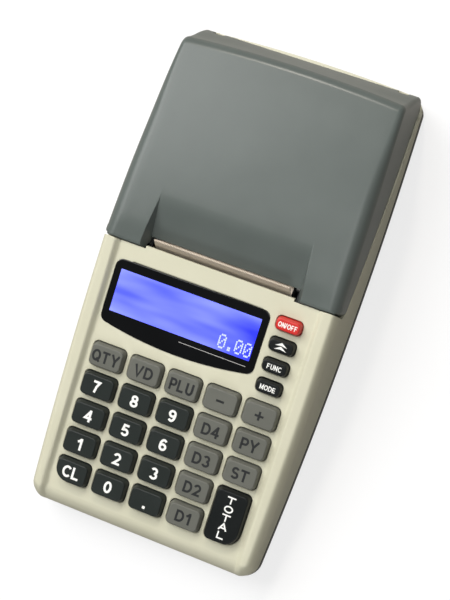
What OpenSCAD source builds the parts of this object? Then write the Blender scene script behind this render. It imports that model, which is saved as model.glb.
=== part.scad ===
// Portable ticket register: a wedge-shaped cash register with a sloping key deck at the front and
// a hinged paper cover over a small thermal printer at the rear.
// X runs to the right, Y to the rear and Z up. The origin is on the table under the middle.

/* [Body] */
// Length of the housing from front to rear
body_len = 207; // [204:1:212]
// Width of the housing at its widest place
body_w = 103; // [102:1:110]
// Thickness of the moulded housing walls
wall = 2.2; // [1.8:0.1:2.5]
// Radius of the long bow of each side, seen from above
side_bow_r = 2000; // [1800:100:4000]
// Radius of the bow of the rear edge, seen from above
rear_bow_r = 650; // [500:50:1200]
// Corner radius of the housing, seen from above
corner_r = 7; // [5:0.5:9]
// Distance of the widest place in front of the middle
bow_front = 10; // [0:1:20]
// Height of the underside above the table
foot_lift = 1.6; // [1.2:0.1:2.2]
// Height of the lower housing above the table
split_z = 8; // [7.6:0.2:8.6]
// Thickness of the floor of the lower housing
floor_t = 2.4; // [2.2:0.1:2.6]

/* [Deck] */
// Slope of the key deck in degrees
deck_angle = 12; // [11:0.5:12.5]
// Height of the deck where it meets the cover
deck_rear_z = 41.8; // [41.4:0.2:43]
// Distance of the joint with the cover behind the middle
joint_y = 6; // [5:0.5:7]
// Thickness of the deck
deck_t = 2; // [1.8:0.1:2.2]
// Depth of the deck below its side rails
rail_h = 2.3; // [1.6:0.1:2.6]
// Half width of the deck between the feet of the rail slopes
deck_half_w = 41.5; // [41.2:0.1:42.5]
// Width of the soft slope from the deck up to each rail
rail_slope_w = 5; // [3:0.5:5.5]
// Radius of the rolled front edge
front_roll_r = 6; // [4:0.5:7]

/* [Keys] */
// Distance between key columns
col_pitch = 16.5; // [16.2:0.1:16.6]
// Distance between key rows along the deck
row_pitch = 12.35; // [12:0.05:12.4]
// Width of a key at the deck
key_w = 14.2; // [13:0.1:14.4]
// Depth of a key at the deck
key_d = 9.8; // [9:0.1:10]
// Height of a key above the deck
key_h = 3; // [2.4:0.1:3.6]
// Corner radius of a key
key_r = 2; // [1:0.1:2.4]
// Large corner radius on the CL and TOTAL keys
key_big_r = 6; // [3:0.5:7]
// Draw-in of a key's top on each side
key_taper = 0.8; // [0.4:0.1:1]
// Travel of a key
key_travel = 1.2; // [0.8:0.1:1.3]
// Gap round a key in the deck
key_gap = 0.35; // [0.3:0.05:0.45]
// Distance from the joint down the deck to the middle of the top key row
top_row_s = 46.5; // [46:0.5:47]
// Width of a side key
side_key_w = 10.5; // [9:0.5:11]
// Depth of a side key
side_key_d = 5.4; // [5:0.1:5.8]
// Distance between side keys along the deck
side_pitch = 8.5; // [8.4:0.1:8.7]
// Distance from the joint down the deck to the first side key
side_first_s = 9.5; // [9:0.5:10]
// Distance of the side keys to the right of the middle
side_key_x = 32.7; // [32.2:0.1:33]

/* [Display] */
// Width of the display window
window_w = 65.8; // [64:0.2:66]
// Height of the display window at its sides
window_h = 26.4; // [25.6:0.2:26.6]
// How far the lower edge of the window bows down
window_bow = 3; // [1:0.5:3.5]
// Distance of the window's middle to the left of the middle of the housing
window_left = 8.2; // [8:0.1:8.4]
// Distance from the joint down the deck to the window
window_s = 6.9; // [6.5:0.1:7.2]
// Corner radius of the window
window_r = 3; // [2:0.5:4]
// Thickness of the window
window_t = 1.2; // [1:0.1:1.4]
// How far the window stands above the deck
window_proud = 0.3; // [0.1:0.1:0.4]
// Width of the visible display
view_w = 60.2; // [56:0.2:61]
// Height of the visible display
view_h = 17.5; // [16:0.5:18]
// Distance from the window's upper edge to the visible display
view_s = 3.8; // [3.4:0.1:4.2]

/* [Cover] */
// Wall thickness of the paper cover
cover_t = 2; // [1.6:0.1:2.2]
// Height of the cover's rear bend above the table
bend_z = 45; // [44.5:0.25:46]
// Distance of the rear bend behind the middle
bend_y = 91.5; // [90:0.5:92]
// Rise of the arch of the cover's top
cover_arch = 2.8; // [1:0.2:3.4]
// How far the cover's sides stand inside the housing's sides
cover_inset = 1; // [0.6:0.1:1.4]
// How far the cover's rear stands inside the housing's rear
cover_rear_inset = 2.6; // [2.4:0.1:3]
// Radius of the cover's upper side edges
cover_edge_r = 5; // [3:0.5:6]
// Gap between the cover and the housing
cover_gap = 0.3; // [0.3:0.05:0.45]
// Radius of the cover's lower front corners, seen from the side
skirt_r = 6; // [3:0.5:8]
// Radius of the hinge barrel
barrel_r = 4.5; // [4.2:0.1:4.8]
// Radius of the hinge pins
hinge_pin_r = 1.5; // [1.2:0.1:1.8]
// Height of the rear rim of the housing
rear_rim_z = 12; // [11.6:0.1:12.2]
// Half width of the notch at the cover's front
notch_half_w = 32; // [31.6:0.1:32.4]
// Depth of the notch from front to rear
notch_len = 23.2; // [21:0.2:24]
// Height of the foot of the notch's ramp
ramp_foot_z = 38.6; // [38.4:0.1:39.4]

/* [Printer] */
// Width of the paper
paper_w = 57; // [56:0.5:57.5]
// Radius of a full paper roll
roll_r = 17; // [14:0.5:17.2]
// Radius of the paper roll's core
core_r = 6; // [5:0.5:7]
// Distance of the paper roll behind the middle
roll_y = 62; // [61:0.5:64]
// Radius of the platen roller
platen_r = 4; // [3.6:0.1:4.1]
// Radius of the platen shaft
platen_shaft_r = 1.5; // [1.2:0.1:1.7]
// Running clearance of every shaft in its bore
run_gap = 0.05; // [0.03:0.01:0.08]
// Thickness of the printer's sheet-metal frame
frame_t = 1.2; // [1:0.1:1.4]
// Thickness of the tear bar
tear_t = 0.7; // [0.6:0.1:0.9]
// Height of the tear bar's upper edge
tear_top_z = 44.3; // [43.8:0.1:44.6]
// Gear module
gear_m = 0.5; // [0.45:0.05:0.5]
// Teeth on the platen gear
platen_teeth = 24; // [24:1:24]
// Teeth on the idler gear
idler_teeth = 18; // [18:1:18]
// Teeth on the motor pinion
pinion_teeth = 12; // [12:1:12]
// Width of the gears
gear_w = 2.8; // [2:0.2:3]
// Radius of the stepper motor
motor_r = 7.5; // [6.5:0.1:7.6]
// Length of the stepper motor
motor_len = 12; // [9:0.5:14]

/* [Inside] */
// Thickness of the circuit boards
board_t = 1.6; // [1.2:0.1:1.8]
// Radius of a battery cell
cell_r = 7.25; // [6.5:0.05:7.3]
// Length of the battery pack
pack_len = 50; // [44:0.5:51]
// Thickness of the battery door
door_t = 1.2; // [1:0.1:1.3]
// Radius of a housing screw
screw_r = 1.2; // [1:0.1:1.4]
// Radius of a rubber foot
foot_r = 5; // [4:0.5:6]

/* [Hidden] */
$fn = 48;
eps = 0.01;
front_y = -body_len / 2;
rear_y = body_len / 2;
floor_top = foot_lift + floor_t;
deck_tan = tan(deck_angle);
bow_y = -bow_front;

// Layers under the deck, measured square to it
key_flange_top = -deck_t - 0.3;
key_flange_t = 1;
dome_gap = 0.3;
dome_top = key_flange_top - key_flange_t - key_travel - dome_gap;
dome_h = 0.5;
mat_t = 1;
mat_bottom = dome_top - dome_h - mat_t;
pcb_bottom = mat_bottom - board_t;
pcb_half_w = body_w / 2 - wall - 4.3;
pcb_rear_s = 5.5;
board_post_x = pcb_half_w - 2;
board_post_r = 1.7;
mat_half_w = min(deck_half_w - 0.5, board_post_x - board_post_r - 0.3);
key_flange_w = 0.65;
// The mat and the board end in front of the last key row, or at the front wall
pad_last_s = min(top_row_s + 4 * row_pitch + key_d / 2 + 2,
    (joint_y - front_y - wall - 4.5) / cos(deck_angle));
lamp_t = 1.2;

// Keys of the pad: name, column, row, depth in rows, colour, large corner (0 none, 1 left, 2 right)
GRAY = "#73766f";
DARK = "#2f3337";
PAD_KEYS = [
    ["key_qty", 0, 0, 1, GRAY, 0], ["key_vd", 1, 0, 1, GRAY, 0], ["key_plu", 2, 0, 1, GRAY, 0],
    ["key_minus", 3, 0, 1, GRAY, 0], ["key_plus", 4, 0, 1, GRAY, 0],
    ["key_7", 0, 1, 1, DARK, 0], ["key_8", 1, 1, 1, DARK, 0], ["key_9", 2, 1, 1, DARK, 0],
    ["key_d4", 3, 1, 1, GRAY, 0], ["key_py", 4, 1, 1, GRAY, 0],
    ["key_4", 0, 2, 1, DARK, 0], ["key_5", 1, 2, 1, DARK, 0], ["key_6", 2, 2, 1, DARK, 0],
    ["key_d3", 3, 2, 1, GRAY, 0], ["key_st", 4, 2, 1, GRAY, 0],
    ["key_1", 0, 3, 1, DARK, 0], ["key_2", 1, 3, 1, DARK, 0], ["key_3", 2, 3, 1, DARK, 0],
    ["key_d2", 3, 3, 1, GRAY, 0], ["key_total", 4, 3, 2, DARK, 2],
    ["key_cl", 0, 4, 1, DARK, 1], ["key_0", 1, 4, 1, DARK, 0], ["key_point", 2, 4, 1, DARK, 0],
    ["key_d1", 3, 4, 1, GRAY, 0]];
// Side keys: name, place from the top, colour
SIDE_KEYS = [["key_on_off", 0, "#c8322d"], ["key_feed", 1, DARK], ["key_func", 2, DARK],
    ["key_mode", 3, DARK]];

// Hinge of the cover: its barrel lies just inside the rear rim
hinge_y = rear_y - cover_rear_inset - barrel_r;
hinge_z = rear_rim_z + 0.5 + barrel_r;
cover_front_y = joint_y + cover_gap;
// Height of the cover's bands beside the deck's recess, where the cover meets the rails
cover_front_z = deck_rear_z + rail_h + 0.1;

// Parting line between the cover's skirt and the housing: it falls to the hinge from a round corner
part_front_y = cover_front_y + skirt_r;
part_front_z = 30;
part_tan = (part_front_z - (hinge_z - barrel_r)) / (hinge_y - part_front_y);
part_end_y = hinge_y - barrel_r + 0.2;
rim_front_y = part_end_y + 1.8;
function part_z(y) = part_front_z - part_tan * (y - part_front_y);
// The round corner and the falling line, for a radius that is larger on the housing than on the cover
function part_line(r, drop) =
    let (k = sqrt(1 + part_tan * part_tan), z = part_front_z + (skirt_r + cover_gap) * k - drop,
         a = 270 - atan(part_tan), base = z - r * k)
    concat(arc(part_front_y, z, r, 180, a, 6),
        [[part_end_y, base - part_tan * (part_end_y - part_front_y)]]);

// Printer and paper path
platen_y = joint_y + 5.6;
platen_z = deck_rear_z - 10.8;
tear_foot_y = joint_y + 1;
tear_foot_z = platen_z + platen_r + 0.5;
tear_top_y = tear_foot_y + 2.9;
tear_half_w = paper_w / 2 + 0.1;
frame_half_w = paper_w / 2 + 2.5;
frame_front_y = joint_y - 1.5;
frame_rear_y = joint_y + 17.5;
frame_bottom_z = floor_top + 2.5;
frame_top_z = tear_foot_z;
motor_y = platen_y + 1.4;
motor_z = platen_z - 15;
gear_x = frame_half_w + frame_t + 2.6;
platen_pr = gear_m * platen_teeth / 2;
idler_pr = gear_m * idler_teeth / 2;
pinion_pr = gear_m * pinion_teeth / 2;
// The idler lies behind the line from platen to motor, in mesh with both
train_d = norm([motor_y - platen_y, motor_z - platen_z]);
train_a = ((platen_pr + idler_pr) ^ 2 - (idler_pr + pinion_pr) ^ 2 + train_d ^ 2) / (2 * train_d);
train_h = sqrt((platen_pr + idler_pr) ^ 2 - train_a ^ 2);
train_u = [motor_y - platen_y, motor_z - platen_z] / train_d;
idler_y = platen_y + train_a * train_u[0] - train_h * train_u[1];
idler_z = platen_z + train_a * train_u[1] + train_h * train_u[0];
idler_pin_r = 1;
motor_shaft_r = 0.75;
head_y = platen_y - platen_r - 0.4;
head_t = 2;
head_pivot_y = head_y - head_t / 2;
head_pivot_z = platen_z - 6;
head_top_z = platen_z + 3.6;
head_pin_r = 0.9;

// Paper compartment: a trough in the sloping shelf that carries the roll
well_r = roll_r + 1.5;
roll_seat_gap = 0.3;
well_z = floor_top + 0.5 + wall + well_r;
roll_z = well_z - (well_r - roll_r - roll_seat_gap);
well_half_w = paper_w / 2 + 1.2;
shelf_t = 2;
printer_bay_half_w = gear_x + gear_w + 1.4;
printer_bay_rear_y = frame_rear_y + 1;
lug_x = 40;
lug_w = 4;
pin_reach = 6;

// Battery compartment and its door
pack_half_w = 4 * cell_r;
pack_rear_y = joint_y - 8;
pack_mid_y = pack_rear_y - pack_len / 2;
door_half_w = pack_half_w - 3;
door_len = pack_len - 8;
door_gap = 0.3;

// Fasteners and feet
boss_x = body_w / 2 - 7.4;
boss_r = 2.8;
boss_ys = [-76, 74];
boss_seat_z = floor_top + 2;
screw_head_r = 2.5;
screw_head_t = 1.5;
screw_len = 10.5;
screw_z = foot_lift + 0.5;
foot_x = 37;
foot_y = body_len / 2 - 12.5;
foot_sink = 0.6;
board_post_s = [14, 58, pad_last_s - 4.8];
board_screw_r = 0.8;

// Boards on the floor
main_half_w = 38;
main_front_y = front_y + 9.5;
main_rear_y = pack_rear_y - pack_len - 7;
board_z = floor_top + 2;
port_front_y = 26;
port_rear_y = 56;
port_x = -(body_w / 2 - wall - 1.6);
port_len = -port_x - well_half_w - 4;
jack_y = 32.5;
jack_z = board_z + board_t + 5.5;
serial_y = 48;
serial_z = board_z + board_t + 5;

function deck_z(y) = deck_rear_z - deck_tan * (joint_y - y);
function half_w(y, inset) = body_w / 2 - inset - (y - bow_y) ^ 2 / (2 * side_bow_r);
function rear_edge(x, inset) = rear_y - inset - x * x / (2 * rear_bow_r);
function arc(cx, cy, r, a0, a1, n) = [for (i = [0:n]) let (a = a0 + (a1 - a0) * i / n)
    [cx + r * cos(a), cy + r * sin(a)]];

function back(list) = [for (i = [len(list) - 1:-1:0]) list[i]];

// Right half of the housing's outline, from the middle of the front to the middle of the rear
function half_outline(side, front, rear, rc) =
    let (r = max(rc - side, 1), yf = front_y + front, fx = half_w(yf + r, side) - r,
         rx = half_w(rear_y - rear - r, side) - r, yr = rear_edge(rx, rear))
    concat(arc(fx, yf + r, r, -90, 0, 6),
        [for (i = [1:11]) let (y = yf + r + i * (yr - yf - 2 * r) / 12) [half_w(y, side), y]],
        arc(rx, yr - r, r, 0, 90, 6),
        [for (i = [1:4]) let (x = rx * (1 - i / 5)) [x, rear_edge(x, rear)]]);
function outline(side, front, rear, rc = corner_r) =
    let (h = half_outline(side, front, rear, rc))
    concat(h, [[0, rear_edge(0, rear)]], [for (p = back(h)) [-p[0], p[1]]]);

// Rounded rectangle with its own radius at each corner: front left, front right, rear right, rear left
function pad(w, d, r) = concat(arc(-w / 2 + r[0], -d / 2 + r[0], r[0], 180, 270, 6),
    arc(w / 2 - r[1], -d / 2 + r[1], r[1], 270, 360, 6),
    arc(w / 2 - r[2], d / 2 - r[2], r[2], 0, 90, 6),
    arc(-w / 2 + r[3], d / 2 - r[3], r[3], 90, 180, 6));

module slab(points, z0, z1) {
    translate([0, 0, z0]) linear_extrude(z1 - z0) polygon(points);
}

// A side view drawn in Y and Z, as wide as 2 * half in X
module profile(points, half) {
    rotate([90, 0, 90]) translate([0, 0, -half]) linear_extrude(2 * half) polygon(points);
}

// A front view drawn in X and Z, from y0 to y1
module front_profile(points, y0, y1) {
    translate([0, y1, 0]) rotate([90, 0, 0]) linear_extrude(y1 - y0) polygon(points);
}

// A cylinder along X
module x_cyl(r, x0, x1, y, z) {
    translate([x0, y, z]) rotate([0, 90, 0]) cylinder(r = r, h = x1 - x0);
}

module block(lo, hi) {
    translate(lo) cube(hi - lo);
}

// The deck's own frame: its origin is on the joint, Y runs up the slope and Z square to the deck
module on_deck() {
    translate([0, joint_y, deck_rear_z]) rotate([deck_angle, 0, 0]) children();
}

// ---- Keys ----

function col_x(c) = (c - 2) * col_pitch;
function row_s(r) = top_row_s + r * row_pitch;
function key_len(k) = key_d + (k[3] - 1) * row_pitch;
function key_s(k) = row_s(k[2]) + (k[3] - 1) * row_pitch / 2;
function key_radii(k, grow) = [
    (k[5] == 1 ? key_big_r : key_r) + grow, (k[5] == 2 ? key_big_r : key_r) + grow,
    key_r + grow, key_r + grow];
function side_s(k) = side_first_s + k[1] * side_pitch;
side_radii = [1.8, 1.8, 1.8, 1.8];

// A key: a cap that tapers above the deck, a shank in the deck and a flange that stops it below
module cap(w, d, r, flange) {
    hull() {
        slab(pad(w, d, r), 0.5, 0.9);
        slab(pad(w - 2 * key_taper, d - 2 * key_taper, [for (q = r) max(q - 0.3, 0.5)]),
            key_h - 0.3, key_h);
    }
    slab(pad(w, d, r), key_flange_top - eps, 0.6);
    slab(pad(w + 2 * flange, d + 2 * flange, r), key_flange_top - key_flange_t, key_flange_top);
}

module pad_key(k) {
    color(k[4]) on_deck() translate([col_x(k[1]), -key_s(k), 0])
        cap(key_w, key_len(k), key_radii(k, 0), key_flange_w);
}

module side_key(k) {
    color(k[2]) on_deck() translate([side_key_x, -side_s(k), 0])
        cap(side_key_w, side_key_d, side_radii, key_flange_w);
}

module key_holes() {
    grow = [for (i = [0:3]) key_gap];
    on_deck() {
        for (k = PAD_KEYS) translate([col_x(k[1]), -key_s(k), 0])
            slab(pad(key_w + 2 * key_gap, key_len(k) + 2 * key_gap, key_radii(k, key_gap)),
                -deck_t - 3, 5);
        for (k = SIDE_KEYS) translate([side_key_x, -side_s(k), 0])
            slab(pad(side_key_w + 2 * key_gap, side_key_d + 2 * key_gap, side_radii + grow),
                -deck_t - 3, 5);
    }
}

// ---- Display ----

// The window: straight at the top and the sides, bowed at the lower edge
function window_points(grow) =
    let (w = window_w / 2 + grow, r = window_r + grow, y0 = -window_s - window_h - grow,
         y1 = -window_s + grow, half = w - r, big = (half * half + window_bow * window_bow)
         / (2 * window_bow), a = asin(half / big))
    concat(arc(-half, y0 + r, r, 180, 270 - a / 2, 4),
        arc(0, y0 - window_bow + big, big, 270 - a, 270 + a, 16),
        arc(half, y0 + r, r, 270 + a / 2, 360, 4), arc(half, y1 - r, r, 0, 90, 6),
        arc(-half, y1 - r, r, 90, 180, 6));

view_mid_s = window_s + view_s + view_h / 2;
lcd_w = view_w + 4;
lcd_h = view_h + 6;

module on_window() {
    on_deck() translate([-window_left, 0, 0]) children();
}

module display_window() {
    color("#101316") on_window() slab(window_points(0), window_proud - window_t, window_proud);
}

module lcd_module() {
    color("#5468f0") on_window() translate([0, -view_mid_s, 0])
        block([-lcd_w / 2, -lcd_h / 2, mat_bottom + lamp_t], [lcd_w / 2, lcd_h / 2, -deck_t]);
}

module lcd_backlight() {
    color("#e8ecf4") on_window() translate([0, -view_mid_s, 0])
        block([-lcd_w / 2, -lcd_h / 2, mat_bottom], [lcd_w / 2, lcd_h / 2, mat_bottom + lamp_t]);
}

// ---- Upper housing ----

front_top_z = deck_z(front_y) + rail_h;
roll_a = 90 - deck_angle;
rail_line_z0 = deck_rear_z + rail_h / cos(deck_angle);
function rail_z(y) = rail_line_z0 - deck_tan * (joint_y - y);
roll_cy = front_y + front_roll_r;
roll_cz = rail_z(roll_cy) - front_roll_r / cos(deck_angle);

// Side view of the upper housing's outside
upper_side = concat([[front_y, split_z], [front_y, roll_cz]],
    arc(roll_cy, roll_cz, front_roll_r, 180, 90 + deck_angle, 6),
    [[joint_y, rail_z(joint_y)]], part_line(skirt_r + cover_gap, 0),
    [[rim_front_y, rear_rim_z], [rear_y + 1, rear_rim_z], [rear_y + 1, split_z]]);

// Side view of the room under the deck
function under_z(y) = deck_z(y) - deck_t / cos(deck_angle);
room_side = [[front_y + wall, split_z - 1], [front_y + wall, under_z(front_y + wall + 3) - 1.2],
    [front_y + wall + 3, under_z(front_y + wall + 3)], [joint_y + 1, under_z(joint_y + 1)],
    [joint_y + 1, split_z - 1]];

// Side view of the open part under the cover, above the shelf
shelf_side = [[joint_y, part_z(joint_y)], [joint_y, part_z(joint_y) - shelf_t],
    [part_end_y, part_z(part_end_y) - shelf_t], [rim_front_y, rear_rim_z - shelf_t - 0.3],
    [rear_y - 1, rear_rim_z - shelf_t - 0.3], [rear_y - 1, rear_rim_z - 0.3],
    [rim_front_y + 0.2, rear_rim_z - 0.3], [part_end_y, part_z(part_end_y)]];

// Cross-section of the rails: the deck's recess with its soft side slopes
function recess_points() = let (n = 6) concat(
    [for (i = [0:n]) let (t = i / n) [-deck_half_w - rail_slope_w * (1 - t),
        rail_h * (1 + cos(180 * t)) / 2]],
    [for (i = [0:n]) let (t = i / n) [deck_half_w + rail_slope_w * t,
        rail_h * (1 - cos(180 * t)) / 2]],
    [[deck_half_w + rail_slope_w, 12], [-deck_half_w - rail_slope_w, 12]]);

rail_edge_r = 3.5;
// Cross-section that rounds the rails' outer edges
function rail_round_points() = let (w = body_w / 2, z = rail_h) concat(
    arc(w - rail_edge_r, z - rail_edge_r, rail_edge_r, 0, 90, 6),
    arc(-w + rail_edge_r, z - rail_edge_r, rail_edge_r, 90, 180, 6), [[-w, -60], [w, -60]]);

module housing_bosses(r, z0, z1) {
    for (x = [-boss_x, boss_x], y = boss_ys) translate([x, y, z0]) cylinder(r = r, h = z1 - z0);
}

module boss_ribs() {
    for (s = [-1, 1], y = boss_ys) translate([s * (boss_x + 3), y, split_z + 3])
        cube([5.4, 1.6, 5], center = true);
}

module under_shelf(top) {
    profile([[front_y, split_z - 6], [front_y, deck_z(front_y)], [joint_y, deck_rear_z - 0.5],
        [joint_y, part_z(joint_y) - top], [part_end_y, part_z(part_end_y) - top],
        [rim_front_y, rear_rim_z - 0.3 - top], [rear_y, rear_rim_z - 0.3 - top],
        [rear_y, split_z - 6]], body_w / 2);
}

module paper_trough(r, half) {
    intersection() {
        x_cyl(r, -half, half, roll_y, well_z);
        under_shelf(0.2);
    }
}

module upper_housing() {
    color("#c9c8b0") difference() {
        union() {
            // outer shell with the room under the deck and the open rear part
            difference() {
                intersection() {
                    slab(outline(0, 0, 0), split_z, 60);
                    profile(upper_side, body_w);
                    union() {
                        on_deck() front_profile(rail_round_points(), -body_len, 3);
                        block([-body_w, joint_y - 12, 0], [body_w, rear_y + 1, part_z(joint_y) + 4]);
                    }
                }
                intersection() {
                    slab(outline(wall, wall, wall), split_z - 1, 60);
                    profile(room_side, body_w);
                }
                intersection() {
                    slab(outline(wall, wall, wall), split_z - 1, 60);
                    block([-body_w, joint_y, 0], [body_w, rear_y, 60]);
                }
            }
            // lip behind the joint, where the paper comes out
            on_deck() block([-notch_half_w + 0.6, -3, -deck_t + 0.2], [notch_half_w - 0.6, 1.1, 1]);
            // sloping shelf under the cover
            intersection() {
                slab(outline(wall / 2, wall, wall / 2), split_z - 4, 60);
                profile(shelf_side, body_w);
            }
            paper_trough(well_r + wall, well_half_w + wall);
            intersection() {
                union() {
                    housing_bosses(boss_r, boss_seat_z, 60);
                    intersection() {
                        boss_ribs();
                        slab(outline(wall / 2, wall, wall), 0, 60);
                    }
                }
                under_shelf(0.5);
            }
            // lugs that hold the hinge pins
            for (s = [-1, 1]) {
                x_cyl(barrel_r - 0.3, s * lug_x - lug_w / 2, s * lug_x + lug_w / 2, hinge_y, hinge_z);
                block([s * lug_x - lug_w / 2, hinge_y - barrel_r + 0.8, rear_rim_z - 1],
                    [s * lug_x + lug_w / 2, hinge_y + barrel_r - 0.8, hinge_z]);
            }
            // posts that carry the keypad board
            on_deck() for (x = [-board_post_x, board_post_x], s = board_post_s)
                translate([x, -s, mat_bottom]) cylinder(r = board_post_r, h = -deck_t - mat_bottom + 0.8);
        }
        on_deck() front_profile(recess_points(), -body_len, 2);
        key_holes();
        on_window() slab(window_points(0.1), window_proud - window_t, 5);
        on_window() translate([0, -view_mid_s, 0])
            block([-view_w / 2 - 1, -view_h / 2 - 1, -deck_t - 1], [view_w / 2 + 1, view_h / 2 + 1, 5]);
        // printer bay and paper trough
        block([-printer_bay_half_w, joint_y - 1, split_z], [printer_bay_half_w,
            printer_bay_rear_y, under_z(joint_y) - 0.5]);
        x_cyl(well_r, -well_half_w, well_half_w, roll_y, well_z);
        for (s = [-1, 1]) x_cyl(hinge_pin_r, s * lug_x - lug_w, s * lug_x + lug_w, hinge_y, hinge_z);
        housing_bosses(screw_r, boss_seat_z - 1, screw_z + screw_head_t + screw_len + 0.5);
        on_deck() for (x = [-board_post_x, board_post_x], s = board_post_s)
            translate([x, -s, mat_bottom - 1]) cylinder(r = board_screw_r, h = 3.5);
        // ports on the left side
        x_cyl(4, -body_w, port_x + 1, jack_y, jack_z);
        block([-body_w, serial_y - 5.7, serial_z - 4.2], [port_x + 1, serial_y + 5.7, serial_z + 4.2]);
    }
}

// ---- Lower housing ----

function door_points(grow) = pad(2 * door_half_w + 2 * grow, door_len + 2 * grow, [1, 1, 1, 1]);

module floor_posts(r, z) {
    for (x = [-frame_half_w - 4.6, frame_half_w + 4.6], y = [joint_y + 2, joint_y + 14])
        translate([x, y, foot_lift + 1]) cylinder(r = r, h = frame_bottom_z - foot_lift - 1 + z);
    for (x = [-main_half_w + 4, main_half_w - 4], y = [main_front_y + 4, main_rear_y - 4])
        translate([x, y, foot_lift + 1]) cylinder(r = r, h = board_z - foot_lift - 1 + z);
    for (y = [port_front_y + 1.6, port_rear_y - 1.6])
        translate([port_x + port_len - 2, y, foot_lift + 1])
            cylinder(r = r, h = board_z - foot_lift - 1 + z);
}

module lower_housing() {
    color("#2a2b27") difference() {
        union() {
            difference() {
                slab(outline(0, 0, 0), foot_lift, split_z);
                slab(outline(wall, wall, wall), floor_top, split_z + 1);
            }
            intersection() {
                union() {
                    floor_posts(2.6, 0);
                    housing_bosses(4.4, foot_lift + 0.5, boss_seat_z);
                }
                slab(outline(1, 1, 1), 0, split_z);
            }
            // walls round the battery pack
            difference() {
                block([-pack_half_w - 2, pack_mid_y - pack_len / 2 - 2, foot_lift + 1],
                    [pack_half_w + 2, pack_mid_y + pack_len / 2 + 2, floor_top + 7]);
                block([-pack_half_w - 0.3, pack_mid_y - pack_len / 2 - 0.3, floor_top],
                    [pack_half_w + 0.3, pack_mid_y + pack_len / 2 + 0.3, floor_top + 8]);
            }
        }
        // seat and opening of the battery door
        translate([0, pack_mid_y, 0]) {
            slab(door_points(door_gap), foot_lift - 1, foot_lift + door_t + door_gap);
            slab(door_points(-2), foot_lift - 1, floor_top + 1);
        }
        for (x = [-foot_x, foot_x], y = [-foot_y, foot_y]) translate([x, y, foot_lift - 1])
            cylinder(r = foot_r, h = 1 + foot_sink);
        housing_bosses(screw_head_r + 0.3, 0, screw_z + screw_head_t);
        housing_bosses(screw_r + 0.2, 0, boss_seat_z + 1);
        floor_posts(board_screw_r, 1);
    }
}

module battery_door() {
    edge_r = door_t / 2;
    front = pack_mid_y - door_len / 2;
    color("#2a2b27") union() {
        intersection() {
            translate([0, pack_mid_y, 0]) slab(door_points(0), foot_lift, foot_lift + door_t);
            block([-body_w, front + edge_r, 0], [body_w, rear_y, 20]);
        }
        x_cyl(edge_r, -door_half_w + 1, door_half_w - 1, front + edge_r, foot_lift + edge_r);
    }
}

module rubber_feet() {
    color("#1d1d1d") for (x = [-foot_x, foot_x], y = [-foot_y, foot_y])
        translate([x, y, 0]) cylinder(r = foot_r, h = foot_lift + foot_sink);
}

module housing_screws() {
    color("#b8b8b8") for (x = [-boss_x, boss_x], y = boss_ys) translate([x, y, 0]) {
        translate([0, 0, screw_z]) cylinder(r = screw_head_r, h = screw_head_t);
        translate([0, 0, screw_z + screw_head_t - eps]) cylinder(r = screw_r, h = screw_len);
    }
}

// ---- Paper cover ----

function top_z(y) = let (t = (y - cover_front_y) / (bend_y - cover_front_y))
    cover_front_z + (bend_z - cover_front_z) * t + 4 * cover_arch * t * (1 - t);

// Slope of the rear face, tangent to the hinge barrel
bend_dy = bend_y - hinge_y;
bend_dz = bend_z - hinge_z;
bend_d = norm([bend_dy, bend_dz]);
rear_a = atan2(bend_dz, bend_dy) - acos(barrel_r / bend_d);

// Side view of the cover, drawn in by t
function cover_side(t) = concat(
    [[cover_front_y + t, top_z(cover_front_y) - t]],
    [for (i = [1:9]) let (y = cover_front_y + t + (bend_y - 2 * t - cover_front_y) * i / 10)
        [y, top_z(y) - t]],
    [[bend_y - 0.9 * t, bend_z - t]],
    arc(hinge_y, hinge_z, barrel_r - t, rear_a, -90, 8), [[rim_front_y, hinge_z - barrel_r - t]],
    back(part_line(skirt_r - t, 3 * t)));

// Front view of the cover with its rounded upper edges, drawn in by t
function cover_front(t) = let (w = body_w / 2 - cover_inset - t, r = cover_edge_r - t / 2,
        top = 60, z = bend_z + cover_arch - t) concat(
    [[w, -10]], arc(w - r, bend_z - 1 - t - r, r, 0, 70, 6),
    [[w - r - 8, z - 0.6], [w - r - 20, z + 0.5], [-w + r + 20, z + 0.5], [-w + r + 8, z - 0.6]],
    arc(-w + r, bend_z - 1 - t - r, r, 110, 180, 6), [[-w, -10]]);

ramp_foot_y = tear_top_y + tear_t + 0.8;
notch_rear_y = cover_front_y + notch_len;
ramp_t = 1.6;
// Side view of the notch above its ramp, and of the ramp's plate
notch_side = [[ramp_foot_y, ramp_foot_z], [notch_rear_y, top_z(notch_rear_y)], [notch_rear_y, 60],
    [cover_front_y - 1, 60], [cover_front_y - 1, 20], [ramp_foot_y, 20]];
ramp_side = [[ramp_foot_y, ramp_foot_z - ramp_t], [ramp_foot_y, 60], [notch_rear_y + 2, 60],
    [notch_rear_y + 2, top_z(notch_rear_y) - ramp_t - 0.5]];

module cover_solid(t) {
    intersection() {
        slab(outline(cover_inset + t, 0, cover_rear_inset + t, 4), 0, 60);
        profile(cover_side(t), body_w);
        front_profile(cover_front(t), -body_len, body_len);
    }
}

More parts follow.
